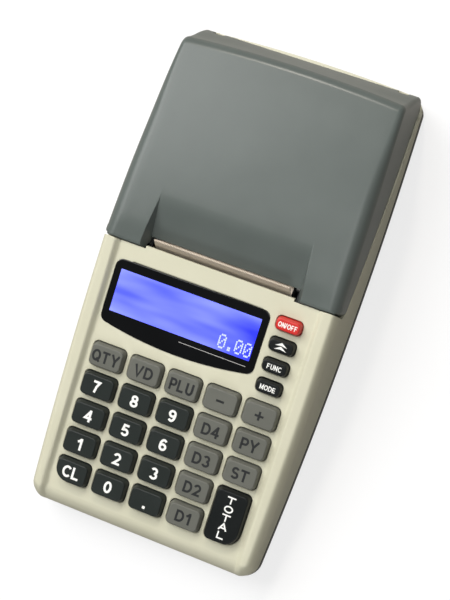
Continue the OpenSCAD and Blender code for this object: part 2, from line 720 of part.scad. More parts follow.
module paper_cover() {
    color("#7b807a") difference() {
        union() {
            difference() {
                cover_solid(0);
                cover_solid(cover_t);
            }
            // ramp with its side walls
            intersection() {
                cover_solid(0);
                profile(ramp_side, notch_half_w + cover_t);
            }
            // hinge barrel
            intersection() {
                x_cyl(barrel_r, -body_w / 2, body_w / 2, hinge_y, hinge_z);
                slab(outline(cover_inset, 0, cover_rear_inset, 4), 0, 60);
            }
        }
        profile(notch_side, notch_half_w);
        // recess that runs out of the deck's own recess
        translate([0, joint_y, deck_rear_z + 0.2]) rotate([deck_angle + 9, 0, 0])
            front_profile(recess_points(), -5, 30);
        // the front skirt stops above the printer
        block([-body_w / 2 + 7, cover_front_y - 1, 0], [body_w / 2 - 7, cover_front_y + cover_t + 1,
            ramp_foot_z]);
        // room for the housing's lugs, and the bores for the hinge pins
        for (s = [-1, 1]) {
            block([s * lug_x - lug_w / 2 - cover_gap, hinge_y - barrel_r - 1, 0],
                [s * lug_x + lug_w / 2 + cover_gap, rear_y, hinge_z + barrel_r + 0.4]);
            x_cyl(hinge_pin_r + run_gap, s * lug_x - pin_reach - 0.5, s * lug_x + pin_reach + 0.5,
                hinge_y, hinge_z);
        }
    }
}

module hinge_pins() {
    color("#c0c0c0") for (s = [-1, 1])
        x_cyl(hinge_pin_r, s * lug_x - pin_reach, s * lug_x + pin_reach, hinge_y, hinge_z);
}

// ---- Printer ----

flange_rear_y = frame_rear_y - 2;
tear_side = [[tear_foot_y, tear_foot_z], [tear_foot_y, tear_foot_z + tear_t],
    [tear_top_y, tear_top_z], [tear_top_y + tear_t, tear_top_z],
    [tear_foot_y + tear_t + 0.1, tear_foot_z + tear_t], [flange_rear_y, tear_foot_z + tear_t],
    [flange_rear_y, tear_foot_z]];

module tear_bar() {
    color("#c2baa6") difference() {
        profile(tear_side, tear_half_w);
        for (x = [-20, 20]) translate([x, flange_rear_y - 2.5, 0]) cylinder(r = 1.1, h = 60);
    }
}

module printer_frame() {
    color("#9aa0a4") difference() {
        union() {
            for (s = [-1, 1]) block([min(s * frame_half_w, s * (frame_half_w + frame_t)), frame_front_y,
                frame_bottom_z], [max(s * frame_half_w, s * (frame_half_w + frame_t)), frame_rear_y,
                frame_top_z]);
            block([-frame_half_w - 7.6, frame_front_y, frame_bottom_z],
                [frame_half_w + 7.6, frame_rear_y, frame_bottom_z + 1]);
            block([-frame_half_w, flange_rear_y - 5, frame_top_z - 1.2],
                [frame_half_w, flange_rear_y + 1, frame_top_z]);
            x_cyl(idler_pin_r, frame_half_w, gear_x + gear_w + 0.4, idler_y, idler_z);
        }
        x_cyl(platen_shaft_r + run_gap, -60, 60, platen_y, platen_z);
        x_cyl(head_pin_r + run_gap, -60, 60, head_pivot_y, head_pivot_z);
        x_cyl(motor_shaft_r + 0.6, frame_half_w - 1, frame_half_w + frame_t + 1, motor_y, motor_z);
        for (x = [-frame_half_w - 4.6, frame_half_w + 4.6], y = [joint_y + 2, joint_y + 14])
            translate([x, y, 0]) cylinder(r = board_screw_r + 0.2, h = frame_bottom_z + 2);
        for (x = [-20, 20]) translate([x, flange_rear_y - 2.5, 20]) cylinder(r = 0.9, h = 60);
    }
}

module print_head() {
    half = frame_half_w - 0.6;
    color("#8d8f92") union() {
        block([-half, head_y - head_t, head_pivot_z - 1], [half, head_y - 0.6, head_top_z]);
        block([-half + 2, head_y - 0.6 - eps, head_pivot_z + 2], [half - 2, head_y, head_top_z]);
        x_cyl(head_pin_r, -frame_half_w - frame_t, frame_half_w + frame_t, head_pivot_y, head_pivot_z);
    }
}

module platen_shaft() {
    color("#c8ccd0") x_cyl(platen_shaft_r, -frame_half_w - frame_t - 1.6, gear_x + gear_w + 0.4,
        platen_y, platen_z);
}

module platen_rubber() {
    color("#1b1b1c") difference() {
        x_cyl(platen_r, -paper_w / 2 - 0.5, paper_w / 2 + 0.5, platen_y, platen_z);
        x_cyl(platen_shaft_r, -60, 60, platen_y, platen_z);
    }
}

// One tooth every 360 / n degrees, as root, flank and tip points
function gear_points(n) = let (r = gear_m * n / 2, p = 360 / n) [for (i = [0:n - 1])
    for (q = [[-0.31, r - 1.2 * gear_m], [-0.11, r + 0.8 * gear_m], [0.11, r + 0.8 * gear_m],
        [0.31, r - 1.2 * gear_m]]) let (a = (i + q[0]) * p) [q[1] * cos(a), q[1] * sin(a)]];

module gear(n, phase, y, z, bore) {
    translate([gear_x, y, z]) rotate([90, 0, 90]) difference() {
        rotate([0, 0, phase]) linear_extrude(gear_w) polygon(gear_points(n));
        translate([0, 0, -1]) cylinder(r = bore, h = gear_w + 2);
    }
}

// Turn of a gear that puts its gap on the tooth of the gear that it meshes with
function mesh_phase(dir, phase, n, m) = dir + 180 - (360 / m) * (0.5 - (dir - phase) * n / 360);
idler_dir = atan2(idler_z - platen_z, idler_y - platen_y);
motor_dir = atan2(motor_z - idler_z, motor_y - idler_y);
idler_phase = mesh_phase(idler_dir, 0, platen_teeth, idler_teeth);
pinion_phase = mesh_phase(motor_dir, idler_phase, idler_teeth, pinion_teeth);

module platen_gear() {
    color("#e6e2d6") gear(platen_teeth, 0, platen_y, platen_z, platen_shaft_r);
}

module idler_gear() {
    color("#e6e2d6") gear(idler_teeth, idler_phase, idler_y, idler_z, idler_pin_r + run_gap);
}

module motor_pinion() {
    color("#c9a54a") union() {
        gear(pinion_teeth, pinion_phase, motor_y, motor_z, motor_shaft_r);
        x_cyl(motor_shaft_r, frame_half_w - motor_len + 2, gear_x + gear_w, motor_y, motor_z);
    }
}

module stepper_motor() {
    color("#b4b8bb") difference() {
        union() {
            x_cyl(motor_r, frame_half_w - motor_len, frame_half_w, motor_y, motor_z);
            block([frame_half_w - motor_len, motor_y - 4, frame_bottom_z + 1],
                [frame_half_w - 1.5, motor_y + 4, motor_z]);
        }
        x_cyl(motor_shaft_r + run_gap, frame_half_w - motor_len + 1.5, 60, motor_y, motor_z);
    }
}

module paper_roll() {
    color("#f4f3ee") difference() {
        x_cyl(roll_r, -paper_w / 2, paper_w / 2, roll_y, roll_z);
        x_cyl(core_r, -60, 60, roll_y, roll_z);
    }
}

module paper_core() {
    color("#e9e4d4") difference() {
        x_cyl(core_r, -paper_w / 2, paper_w / 2, roll_y, roll_z);
        x_cyl(core_r - 1.3, -60, 60, roll_y, roll_z);
    }
}

// ---- Boards and inner parts ----

module keypad_mat() {
    pad_rear = -top_row_s + key_d / 2 + 2;
    strip_left = side_key_x - side_key_w / 2 - 1.2;
    strip_right = side_key_x + side_key_w / 2 + 1.2;
    points = [[-mat_half_w, -pad_last_s], [mat_half_w, -pad_last_s], [mat_half_w, pad_rear],
        [strip_right, pad_rear], [strip_right, -pcb_rear_s], [strip_left, -pcb_rear_s],
        [strip_left, pad_rear], [-mat_half_w, pad_rear]];
    color("#3a3d40") on_deck() {
        slab(points, mat_bottom, mat_bottom + mat_t);
        for (k = PAD_KEYS) translate([col_x(k[1]), -key_s(k), mat_bottom + mat_t - eps])
            cylinder(r1 = 3.6, r2 = 2.6, h = dome_h + eps);
        for (k = SIDE_KEYS) translate([side_key_x, -side_s(k), mat_bottom + mat_t - eps])
            cylinder(r1 = 2.4, r2 = 1.8, h = dome_h + eps);
    }
}

module keypad_board() {
    color("#2f6b45") difference() {
        on_deck() union() {
            translate([0, -(pad_last_s + pcb_rear_s) / 2, 0])
                slab(pad(2 * pcb_half_w, pad_last_s - pcb_rear_s, [1, 1, 1, 1]), pcb_bottom, mat_bottom);
            translate([0, -(joint_y - ribbon_y) / cos(deck_angle), 0]) block([-11, -2.5, pcb_bottom - 2.6],
                [11, 2.5, pcb_bottom]);
        }
        housing_bosses(boss_r + 0.4, 0, 60);
        on_deck() for (x = [-board_post_x, board_post_x], s = board_post_s)
            translate([x, -s, pcb_bottom - 1]) cylinder(r = board_screw_r + 0.2, h = 5);
    }
}

module board_screws() {
    color("#b8b8b8") {
        on_deck() for (x = [-board_post_x, board_post_x], s = board_post_s)
            translate([x, -s, pcb_bottom]) {
                translate([0, 0, -1.2]) cylinder(r = 1.6, h = 1.2);
                translate([0, 0, -0.2]) cylinder(r = board_screw_r, h = 0.2 + board_t + 2.2);
            }
        for (x = [-frame_half_w - 4.6, frame_half_w + 4.6], y = [joint_y + 2, joint_y + 14])
            translate([x, y, frame_bottom_z + 1]) {
                cylinder(r = 1.6, h = 1.2);
                translate([0, 0, -3]) cylinder(r = board_screw_r, h = 3.2);
            }
        for (x = [-main_half_w + 4, main_half_w - 4], y = [main_front_y + 4, main_rear_y - 4])
            translate([x, y, board_z + board_t]) {
                cylinder(r = 1.6, h = 1.2);
                translate([0, 0, -3]) cylinder(r = board_screw_r, h = 3.2);
            }
    }
}

// The cable stands at the rear edge of the main board
ribbon_y = min(joint_y - (pad_last_s - 36) * cos(deck_angle), main_rear_y);

module main_board() {
    color("#2f6b45") difference() {
        union() {
            block([-main_half_w, main_front_y, board_z], [main_half_w, main_rear_y, board_z + board_t]);
            block([-11, ribbon_y - 2.5, board_z + board_t - eps],
                [11, ribbon_y + 2.5, board_z + board_t + 2.6]);
            block([-9, main_front_y + 8, board_z + board_t - eps],
                [9, main_front_y + 18, board_z + board_t + 1.8]);
            block([16, main_front_y + 10, board_z + board_t - eps],
                [28, main_front_y + 20, board_z + board_t + 1.8]);
        }
        for (x = [-main_half_w + 4, main_half_w - 4], y = [main_front_y + 4, main_rear_y - 4])
            translate([x, y, board_z - 1]) cylinder(r = board_screw_r + 0.2, h = board_t + 2);
    }
}

module port_board() {
    color("#2f6b45") difference() {
        block([port_x + 0.4, port_front_y - 1, board_z], [port_x + port_len + 1.5, port_rear_y + 1,
            board_z + board_t]);
        for (y = [port_front_y + 1.6, port_rear_y - 1.6])
            translate([port_x + port_len - 2, y, 0]) cylinder(r = board_screw_r + 0.2, h = 20);
    }
}

module ribbon_cable() {
    z0 = board_z + board_t + 2.6;
    z1 = under_z(ribbon_y) - (-pcb_bottom - deck_t + 2.6) / cos(deck_angle) - 0.6;
    n = 12;
    side = [for (i = [0:n]) [ribbon_y - 2.4 * sin(180 * i / n), z0 + (z1 - z0) * i / n]];
    color("#d8d8d8") profile(concat([for (p = side) p + [-0.25, 0]],
        [for (i = [n:-1:0]) side[i] + [0.25, 0]]), 9);
}

module battery_pack() {
    color("#3f6fb0") translate([0, pack_mid_y + pack_len / 2, floor_top + cell_r]) {
        for (i = [-1.5:1:1.5]) translate([i * 2 * cell_r, 0, 0]) rotate([90, 0, 0])
            cylinder(r = cell_r, h = pack_len);
        block([-3 * cell_r, -pack_len, -cell_r], [3 * cell_r, 0, cell_r]);
    }
}

module power_jack() {
    color("#161616") difference() {
        union() {
            block([port_x, jack_y - 4.5, board_z + board_t], [port_x + port_len, jack_y + 4.5,
                jack_z + 5.5]);
            x_cyl(3.8, port_x - 1.8, port_x + 1, jack_y, jack_z);
        }
        difference() {
            x_cyl(2.75, port_x - 3, port_x + port_len - 6, jack_y, jack_z);
            x_cyl(1, port_x - 1, port_x + port_len - 5, jack_y, jack_z);
        }
    }
}

module serial_port() {
    color("#1c1c1c") difference() {
        union() {
            block([port_x, serial_y - 6.5, board_z + board_t], [port_x + port_len, serial_y + 6.5,
                serial_z + 5]);
            block([port_x - 1.8, serial_y - 5.4, serial_z - 3.9], [port_x + 1, serial_y + 5.4,
                serial_z + 3.9]);
        }
        block([port_x - 3, serial_y - 4.6, serial_z - 3],
            [port_x + port_len - 4, serial_y + 4.6, serial_z + 3]);
    }
}

module buzzer() {
    color("#17181a") difference() {
        translate([-25, main_rear_y - 9, board_z + board_t]) cylinder(r = 6, h = 5);
        translate([-25, main_rear_y - 9, board_z + board_t + 3]) cylinder(r = 1, h = 5);
    }
}

module fiscal_memory() {
    color("#26282b") block([-17, printer_bay_rear_y + 2, floor_top],
        [17, printer_bay_rear_y + 15, floor_top + 12]);
}

for (k = PAD_KEYS) pad_key(k);
for (k = SIDE_KEYS) side_key(k);
upper_housing();
lower_housing();
paper_cover();
hinge_pins();
tear_bar();
display_window();
lcd_module();
lcd_backlight();
keypad_mat();
keypad_board();
main_board();
port_board();
ribbon_cable();
printer_frame();
print_head();
platen_shaft();
platen_rubber();
platen_gear();
idler_gear();
motor_pinion();
stepper_motor();
paper_roll();
paper_core();
battery_pack();
battery_door();
rubber_feet();
housing_screws();
board_screws();
power_jack();
serial_port();
buzzer();
fiscal_memory();
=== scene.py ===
from math import acos, asin, atan, atan2, cos, degrees, dist, hypot, pi, radians, sin, sqrt, tan

import bmesh
import bpy
from mathutils import Euler, Matrix, Vector


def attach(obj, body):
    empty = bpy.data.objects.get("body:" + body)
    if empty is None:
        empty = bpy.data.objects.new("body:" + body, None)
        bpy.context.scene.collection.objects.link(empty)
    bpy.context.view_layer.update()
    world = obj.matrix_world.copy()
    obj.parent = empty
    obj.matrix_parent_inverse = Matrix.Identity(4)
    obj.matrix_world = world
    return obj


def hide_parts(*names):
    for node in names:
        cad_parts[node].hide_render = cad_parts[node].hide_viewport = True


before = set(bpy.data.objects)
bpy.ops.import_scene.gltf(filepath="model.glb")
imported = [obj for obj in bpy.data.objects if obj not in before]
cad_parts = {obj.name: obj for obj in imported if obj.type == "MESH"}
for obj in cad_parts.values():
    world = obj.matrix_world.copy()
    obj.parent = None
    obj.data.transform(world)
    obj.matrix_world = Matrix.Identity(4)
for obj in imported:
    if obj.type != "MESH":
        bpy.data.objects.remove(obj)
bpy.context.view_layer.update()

# The register's own measures, in millimetres, in the frame of the solids.
MM = 0.001
BODY_LEN, BODY_W = 207.0, 103.0
FRONT, REAR = -BODY_LEN / 2, BODY_LEN / 2
WIDEST_Y = -10.0
SIDE_BOW, REAR_BOW = 2000.0, 650.0
CORNER_R = 7.0
SPLIT_Z, FLOOR_Z = 8.0, 1.6
JOINT_Y, DECK_Z = 6.0, 41.8
DECK_SLOPE = radians(12)
RAIL_H, DECK_HALF, RAIL_SLOPE_W = 2.3, 41.5, 2.6
SIDE_ROLL, FRONT_ROLL = 3.4, 6.0
DRAFT = 0.04
HINGE_Y, HINGE_Z, BARREL_R = 96.4, 17.0, 4.5
PART_Y, PART_Z, SKIRT_R = 12.3, 30.0, 6.0
LUG_X, LUG_GAP, PIN_HOLE_R, PIN_REACH = 40.0, 2.3, 1.55, 6.5
GAP = 0.3
# How near points have to be to count as one (mm) and edges to count as in place (m).
SAME_POINT, EDGE_LINE, EDGE_SPOT = 0.0005, 1e-6, 1e-7
FLAT_FACE_WEIGHT, ROD_SIDES = 90, 64


# ---------- mesh tools ----------

def pick(*objects):
    """Leaves only these objects selected, with the first one active."""
    if bpy.context.mode != "OBJECT":
        bpy.ops.object.mode_set(mode="OBJECT")
    bpy.ops.object.select_all(action="DESELECT")
    for o in objects:
        o.select_set(True)
    if objects:
        bpy.context.view_layer.objects.active = objects[0]


def choose(o, kind, test):
    """Edit mode, with only those elements of one kind selected that pass a test."""
    pick(o)
    bpy.ops.object.mode_set(mode="EDIT")
    bpy.ops.mesh.select_mode(type=kind)
    bpy.ops.mesh.select_all(action="DESELECT")
    bm = bmesh.from_edit_mesh(o.data)
    for e in {"VERT": bm.verts, "EDGE": bm.edges, "FACE": bm.faces}[kind]:
        if test(e):
            e.select_set(True)
    bm.select_flush_mode()
    bmesh.update_edit_mesh(o.data)


def close():
    bpy.ops.object.mode_set(mode="OBJECT")


def place(o, matrix):
    """Moves a shape into place in its mesh, and leaves its object at the origin."""
    o.data.transform(matrix @ o.matrix_world)
    o.matrix_world = Matrix.Identity(4)
    return o


def shift(x, y, z=0.0):
    """A move in millimetres."""
    return Matrix.Translation((x * MM, y * MM, z * MM))


def outward(o, merge=0.0, turn=True):
    """Merges points closer than this and turns every face outwards."""
    bm = bmesh.new()
    bm.from_mesh(o.data)
    if merge:
        bmesh.ops.remove_doubles(bm, verts=bm.verts, dist=merge * MM)
    if turn:
        bmesh.ops.recalc_face_normals(bm, faces=bm.faces)
    bm.to_mesh(o.data)
    bm.free()
    return o


def new_object(name, data):
    o = bpy.data.objects.new(name, data)
    bpy.context.scene.collection.objects.link(o)
    return o


def skin(name, points, faces, merge=0.0):
    """A closed mesh from points in millimetres."""
    mesh = bpy.data.meshes.new(name)
    mesh.from_pydata([tuple(c * MM for c in p) for p in points], [], faces)
    mesh.update()
    return outward(new_object(name, mesh), merge)


def loft(name, rings, looped=False):
    """A closed skin through rings of equally many points, flat at both ends or looped round."""
    n, count = len(rings[0]), len(rings)
    faces = [] if looped else [tuple(range(n)), tuple((count - 1) * n + i for i in range(n))]
    for k in range(count if looped else count - 1):
        near, far = k * n, (k + 1) % count * n
        for i in range(n):
            j = (i + 1) % n
            faces.append((near + i, near + j, far + j, far + i))
    return skin(name, [p for row in rings for p in row], faces)


def work(o, tool):
    """Cuts a tool shape out of this one. The tool is used up."""
    pick(o)
    m = o.modifiers.new("work", "BOOLEAN")
    m.operation, m.object, m.solver = "DIFFERENCE", tool, "MANIFOLD"
    bpy.ops.object.modifier_apply(modifier=m.name)
    bpy.data.objects.remove(tool)
    return o


def join(*objects):
    pick(*objects)
    bpy.ops.object.join()
    return objects[0]


def twin(o, name):
    """A new object with a copy of this one's mesh."""
    return new_object(name, o.data.copy())


def smooth(o, angle=30):
    """Smooths the edges that bend less than the angle. The large flat faces lead the shading."""
    pick(o)
    bpy.ops.object.shade_smooth_by_angle(angle=radians(angle))
    flat = o.modifiers.new("flat_faces_lead", "WEIGHTED_NORMAL")
    flat.keep_sharp = True
    flat.weight = FLAT_FACE_WEIGHT
    bpy.ops.object.modifier_apply(modifier=flat.name)
    return o


def made(name):
    """Names the form just made and settles its size and place in its mesh."""
    o = bpy.context.object
    o.name = name
    bpy.context.view_layer.update()
    return place(o, Matrix.Identity(4))


def box(name, low, high):
    """A block between two corners."""
    pick()
    bpy.ops.mesh.primitive_cube_add(size=1, location=[(a + b) / 2 * MM for a, b in zip(low, high)])
    bpy.context.object.scale = [(b - a) * MM for a, b in zip(low, high)]
    return made(name)


def rod(name, r, a, b):
    """A cylinder between two points."""
    a, b = Vector(a) * MM, Vector(b) * MM
    pick()
    bpy.ops.mesh.primitive_cylinder_add(vertices=ROD_SIDES, radius=r * MM, depth=(b - a).length,
                                        location=(a + b) / 2,
                                        rotation=(b - a).to_track_quat("Z", "Y").to_euler())
    return made(name)


def upright(e):
    """True for an upright edge."""
    d = e.verts[0].co - e.verts[1].co
    return abs(abs(d.z) - d.length) < EDGE_LINE and d.length > EDGE_LINE


def bevel(o, test, r, segments=4):
    """Rounds the edges that pass the test."""
    choose(o, "EDGE", test)
    bpy.ops.mesh.bevel(offset=r * MM, segments=segments, affect="EDGES")
    close()


def solid_copy(name, node_name):
    """A merged copy of a solid of the frame."""
    o = twin(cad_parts[node_name], name)
    o.data.materials.clear()
    return outward(o, SAME_POINT, turn=False)


# The deck's own frame: X to the right, Y up the slope, Z square to the deck.
DECK = shift(0, JOINT_Y, DECK_Z) @ Matrix.Rotation(DECK_SLOPE, 4, "X")


def deck_z(y):
    return DECK_Z - tan(DECK_SLOPE) * (JOINT_Y - y)


def half_w(y, inset=0.0):
    """Half the housing's width, which bows out a little."""
    return BODY_W / 2 - inset - (y - WIDEST_Y) ** 2 / (2 * SIDE_BOW)


def rear_edge(x, inset=0.0):
    """The rear edge, bowed too."""
    return REAR - inset - x * x / (2 * REAR_BOW)


# The parting line under the cover slopes down to the hinge, rounded in front.
PART_TAN = (PART_Z - (HINGE_Z - BARREL_R)) / (HINGE_Y - PART_Y)
PART_K = sqrt(1 + PART_TAN ** 2)
PART_C = PART_Z + (SKIRT_R + GAP) * PART_K


def part_z(y):
    return PART_Z - PART_TAN * (y - PART_Y)


def soft_step(t):
    """Rises from 0 to 1 without a corner."""
    t = min(max(t, 0.0), 1.0)
    return (1 - cos(pi * t)) / 2


def polar(cx, cy, r, angle):
    a = radians(angle)
    return cx + r * cos(a), cy + r * sin(a)


def arc(cx, cy, r, a0, a1, n):
    return [polar(cx, cy, r, a0 + (a1 - a0) * i / n) for i in range(n + 1)]


# ---------- materials ----------

def linear(code):
    """An sRGB hex colour as linear light."""
    def one(v):
        v /= 255
        return v / 12.92 if v <= 0.04045 else ((v + 0.055) / 1.055) ** 2.4
    return tuple(one(int(code[i:i + 2], 16)) for i in (1, 3, 5)) + (1.0,)


def new_material(name, **shader):
    """A material, its nodes and its shader with these settings."""
    m = bpy.data.materials.new(name)
    m.use_nodes = True
    s = m.node_tree.nodes["Principled BSDF"]
    for key, value in shader.items():
        s.inputs[key.replace("_", " ")].default_value = value
    return m, m.node_tree, s


def add(tree, kind, links=(), **settings):
    """Adds a node. Settings name its properties or inputs, and links are (output, input) pairs."""
    n = tree.nodes.new(kind)
    for key, value in settings.items():
        if hasattr(n, key):
            setattr(n, key, value)
        else:
            n.inputs[key.replace("_", " ")].default_value = value
    for source, target in links:
        tree.links.new(source, n.inputs[target])
    return n


def wire(source, output, target, socket):
    """Links two nodes of one tree."""
    source.id_data.links.new(source.outputs[output], target.inputs[socket])


def calc(tree, how, a, b):
    """One step of arithmetic on outputs or numbers."""
    n = add(tree, "ShaderNodeMath", operation=how)
    for i, v in enumerate((a, b)):
        if isinstance(v, float):
            n.inputs[i].default_value = v
        else:
            tree.links.new(v, n.inputs[i])
    return n.outputs["Value"]


def stops(n, *pairs):
    """Sets a colour ramp's stops from (place, sRGB hex or gray number) pairs."""
    e = n.color_ramp.elements
    while len(e) < len(pairs):
        e.new(0.5)
    for s, (at, value) in zip(e, pairs):
        s.position = at
        s.color = linear(value) if isinstance(value, str) else (value, value, value, 1)


# Noise values between which the patches blend, and the grain's depth in metres.
PATCH_LOW, PATCH_HIGH, GRAIN_DEPTH = 0.3, 0.7, 0.00005


def finish(name, colour, other, patch_mm, grain_mm, grain, rough, rough_spread=0.04, **shader):
    """A material: two close colours in soft patches, a fine grain of some size and strength, and
    a roughness with its spread."""
    m, t, s = new_material(name, **shader)
    where = add(t, "ShaderNodeTexCoord").outputs["Object"]
    patches = add(t, "ShaderNodeTexNoise", [(where, "Vector")], Scale=1000 / patch_mm, Detail=3.0)
    tint = add(t, "ShaderNodeValToRGB", [(patches.outputs["Fac"], "Fac")])
    stops(tint, (PATCH_LOW, colour), (PATCH_HIGH, other))
    wire(tint, "Color", s, "Base Color")
    gloss = add(t, "ShaderNodeMapRange", [(patches.outputs["Fac"], "Value")],
                From_Min=PATCH_LOW, From_Max=PATCH_HIGH,
                To_Min=rough - rough_spread, To_Max=rough + rough_spread)
    wire(gloss, "Result", s, "Roughness")
    if grain:
        fine = add(t, "ShaderNodeTexNoise", [(where, "Vector")], Scale=1000 / grain_mm, Detail=2.0)
        bump = add(t, "ShaderNodeBump", [(fine.outputs["Fac"], "Height")], Strength=grain,
                   Distance=GRAIN_DEPTH)
        wire(bump, "Normal", s, "Normal")
    return m


# ABS from a spark-eroded mould: a soft cream with an even, fine sheen.
CREAM = finish("cream_moulded_abs", "#c9c7b0", "#cccab4", 18.0, 0.4, 0.12, 0.4, 0.03, IOR=1.45)
# The same moulded ABS in near black, for the tray under the register.
BLACK_ABS = finish("black_moulded_abs", "#2a2a26", "#2e2e2a", 18.0, 0.4, 0.15, 0.45, IOR=1.53)
# ABS from a polished mould: smoky gray that mirrors the lights softly.
SMOKE = finish("smoke_polished_abs", "#585f5c", "#5c6360", 18.0, 0.5, 0.03, 0.3, 0.02, IOR=1.48,
               Specular_IOR_Level=0.35)
# Moulded satin keys in charcoal, black, mid gray and red.
KEY_DARK = finish("charcoal_key_abs", "#242927", "#272c2a", 18.0, 0.3, 0.15, 0.42, IOR=1.48,
                  Specular_IOR_Level=0.25)
KEY_BLACK = finish("black_key_abs", "#151818", "#191c1c", 18.0, 0.3, 0.15, 0.4, IOR=1.48,
                   Specular_IOR_Level=0.2)
KEY_GRAY = finish("gray_key_abs", "#62635c", "#676861", 18.0, 0.3, 0.15, 0.42, IOR=1.48,
                  Specular_IOR_Level=0.25)
KEY_RED = finish("red_key_abs", "#c4241f", "#ca2b25", 18.0, 0.3, 0.1, 0.36, IOR=1.5)
# Pad-printed ink on the keys: flat and slightly uneven.
INK_WHITE = finish("white_key_ink", "#f4f4f0", "#ecece6", 2.0, 0.5, 0.0, 0.5)
INK_BLACK = finish("black_key_ink", "#17191a", "#1c1e1f", 2.0, 0.5, 0.0, 0.5)
# Acrylic sheet printed black on its back: a deep, clear gloss.
WINDOW_BLACK = finish("black_printed_acrylic", "#060708", "#0a0b0d", 18.0, 2.0, 0.0, 0.08, 0.02,
                      IOR=1.49)
# Pinstripe printed on the window.
STRIPE = finish("pale_window_ink", "#b9b7b4", "#a9a7a4", 3.0, 0.5, 0.0, 0.4)
# Steel sheet, blasted and lacquered: a warm satin.
TEAR_STEEL = finish("satin_lacquered_steel", "#cdc0b0", "#c4b8a8", 6.0, 0.25, 0.1, 0.5,
                    Metallic=0.1)
# Phosphated steel of the printer's frame: dull and nearly black.
PHOSPHATED = finish("phosphated_steel", "#2b2c2d", "#343536", 3.0, 0.5, 0.15, 0.55, Metallic=0.5)
# Zinc-plated sheet steel: cold gray with faint spangle.
ZINC = finish("zinc_plated_steel", "#b3b8bd", "#9da3a8", 3.0, 0.8, 0.05, 0.35, Metallic=1.0)
# Turned steel: bright, with fine tool marks.
STEEL = finish("turned_steel", "#c4c6c9", "#b6b9bc", 2.0, 0.2, 0.1, 0.28, Metallic=1.0)
# Milled aluminium: paler and duller than the steel.
ALUMINIUM = finish("milled_aluminium", "#b9bbbd", "#aeb0b2", 4.0, 0.3, 0.1, 0.4, Metallic=1.0)
# Cut brass, yellow and bright.
BRASS = finish("cut_brass", "#c9a24a", "#b9923d", 2.0, 0.2, 0.1, 0.3, Metallic=1.0)
# Moulded rubber: black, dull and slightly rough.
RUBBER = finish("black_rubber", "#1c1c1c", "#232323", 5.0, 0.4, 0.3, 0.75)
# Moulded silicone: dark gray with a dry skin.
SILICONE = finish("gray_silicone", "#3b3e41", "#424548", 8.0, 0.6, 0.1, 0.6)
# Solder mask over copper on a glass-epoxy board: green and glossy, paler over the tracks.
BOARD = finish("green_solder_mask", "#1f6a3d", "#185a33", 4.0, 1.2, 0.1, 0.3)
# Moulded acetal: milky white, waxy.
ACETAL = finish("white_acetal", "#e2ddcd", "#d8d3c2", 5.0, 0.4, 0.05, 0.4)
# Coated thermal paper: smooth, nearly white.
PAPER = finish("thermal_paper", "#f1efe9", "#e9e6de", 2.0, 0.1, 0.15, 0.7)
# Wound card: pale brown and fibrous.
CARD = finish("core_card", "#cdbf9f", "#bfb08f", 2.0, 0.3, 0.3, 0.85)
# Shrunk PVC sleeve: blue and glossy, with soft wrinkles.
SLEEVE = finish("blue_shrink_sleeve", "#1f4fa3", "#24579f", 9.0, 3.0, 0.2, 0.25)
# Moulded nylon connectors: black, satin.
NYLON = finish("black_nylon", "#141414", "#1b1b1b", 4.0, 0.4, 0.1, 0.5)
# PVC ribbon cable: pale gray.
FLAT_CABLE = finish("gray_flat_cable", "#b9b9b5", "#aeaeaa", 3.0, 1.0, 0.2, 0.4)
# Acrylic light guide: milky white.
LAMP = finish("white_light_guide", "#e9ecf2", "#dfe4ee", 9.0, 1.0, 0.0, 0.3)
# Lit dots of the display: pale, nearly white.
DOTS = finish("pale_display_dots", "#c9d3e6", "#bcc8e0", 1.0, 1.0, 0.0, 0.3,
              Emission_Color=linear("#cfd8ea"), Emission_Strength=0.3)


def display_finish():
    """Liquid crystal lit from behind: pale at the left, deep blue at the right, in soft sweeps."""
    m, t, s = new_material("lit_liquid_crystal", Emission_Strength=0.55, Roughness=0.12, IOR=1.5)
    where = add(t, "ShaderNodeTexCoord").outputs["Object"]
    turned = add(t, "ShaderNodeMapping", [(where, "Vector")], Rotation=(0, 0, radians(-38)),
                 Scale=(18, 95, 1))
    sweep = add(t, "ShaderNodeTexNoise", [(turned.outputs["Vector"], "Vector")],
                Scale=1.0, Detail=2.0, Roughness=0.4)
    parts = add(t, "ShaderNodeSeparateXYZ", [(where, "Vector")])
    across = add(t, "ShaderNodeMapRange", [(parts.outputs["X"], "Value")],
                 From_Min=-0.040, From_Max=0.022, To_Min=0.15, To_Max=-0.06)
    total = calc(t, "ADD", sweep.outputs["Fac"], across.outputs["Result"])
    tint = add(t, "ShaderNodeValToRGB", [(total, "Fac")])
    stops(tint, (0.34, "#2b33e8"), (0.46, "#4d57f0"), (0.6, "#737df3"), (0.72, "#9aa4f6"))
    wire(tint, "Color", s, "Base Color")
    wire(tint, "Color", s, "Emission Color")
    return m


LIT = display_finish()


def dress(o, material, body="housing"):
    """Gives a new piece its finish and the body that it rides on."""
    if material:
        o.data.materials.clear()
        o.data.materials.append(material)
    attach(o, body)


# ---------- camera ----------

camera = new_object("camera", bpy.data.cameras.new("camera"))
camera.location = (0.13278, -0.01984, 0.61195)
camera.rotation_euler = Euler([radians(a) for a in (6.0044, 11.1751, 20.6909)])
camera.data.sensor_fit = "AUTO"
camera.data.sensor_width = 36
camera.data.lens = 90.47
bpy.context.scene.camera = camera


# ---------- housing ----------

SIDE_STEPS, CORNER_STEPS, REAR_STEPS = 36, 8, 16
CORNER_Y = REAR - CORNER_R
SIDE_ROWS = [CORNER_Y - i * (BODY_LEN - 2 * CORNER_R) / SIDE_STEPS
             for i in range(SIDE_STEPS + 1)]
# Insets of the seam's fine chamfer, of the wall and of the innermost ring round the deck.
SEAM_INSET, WALL_INSET, DEEPEST = 0.45, 0.15, CORNER_R - 0.45
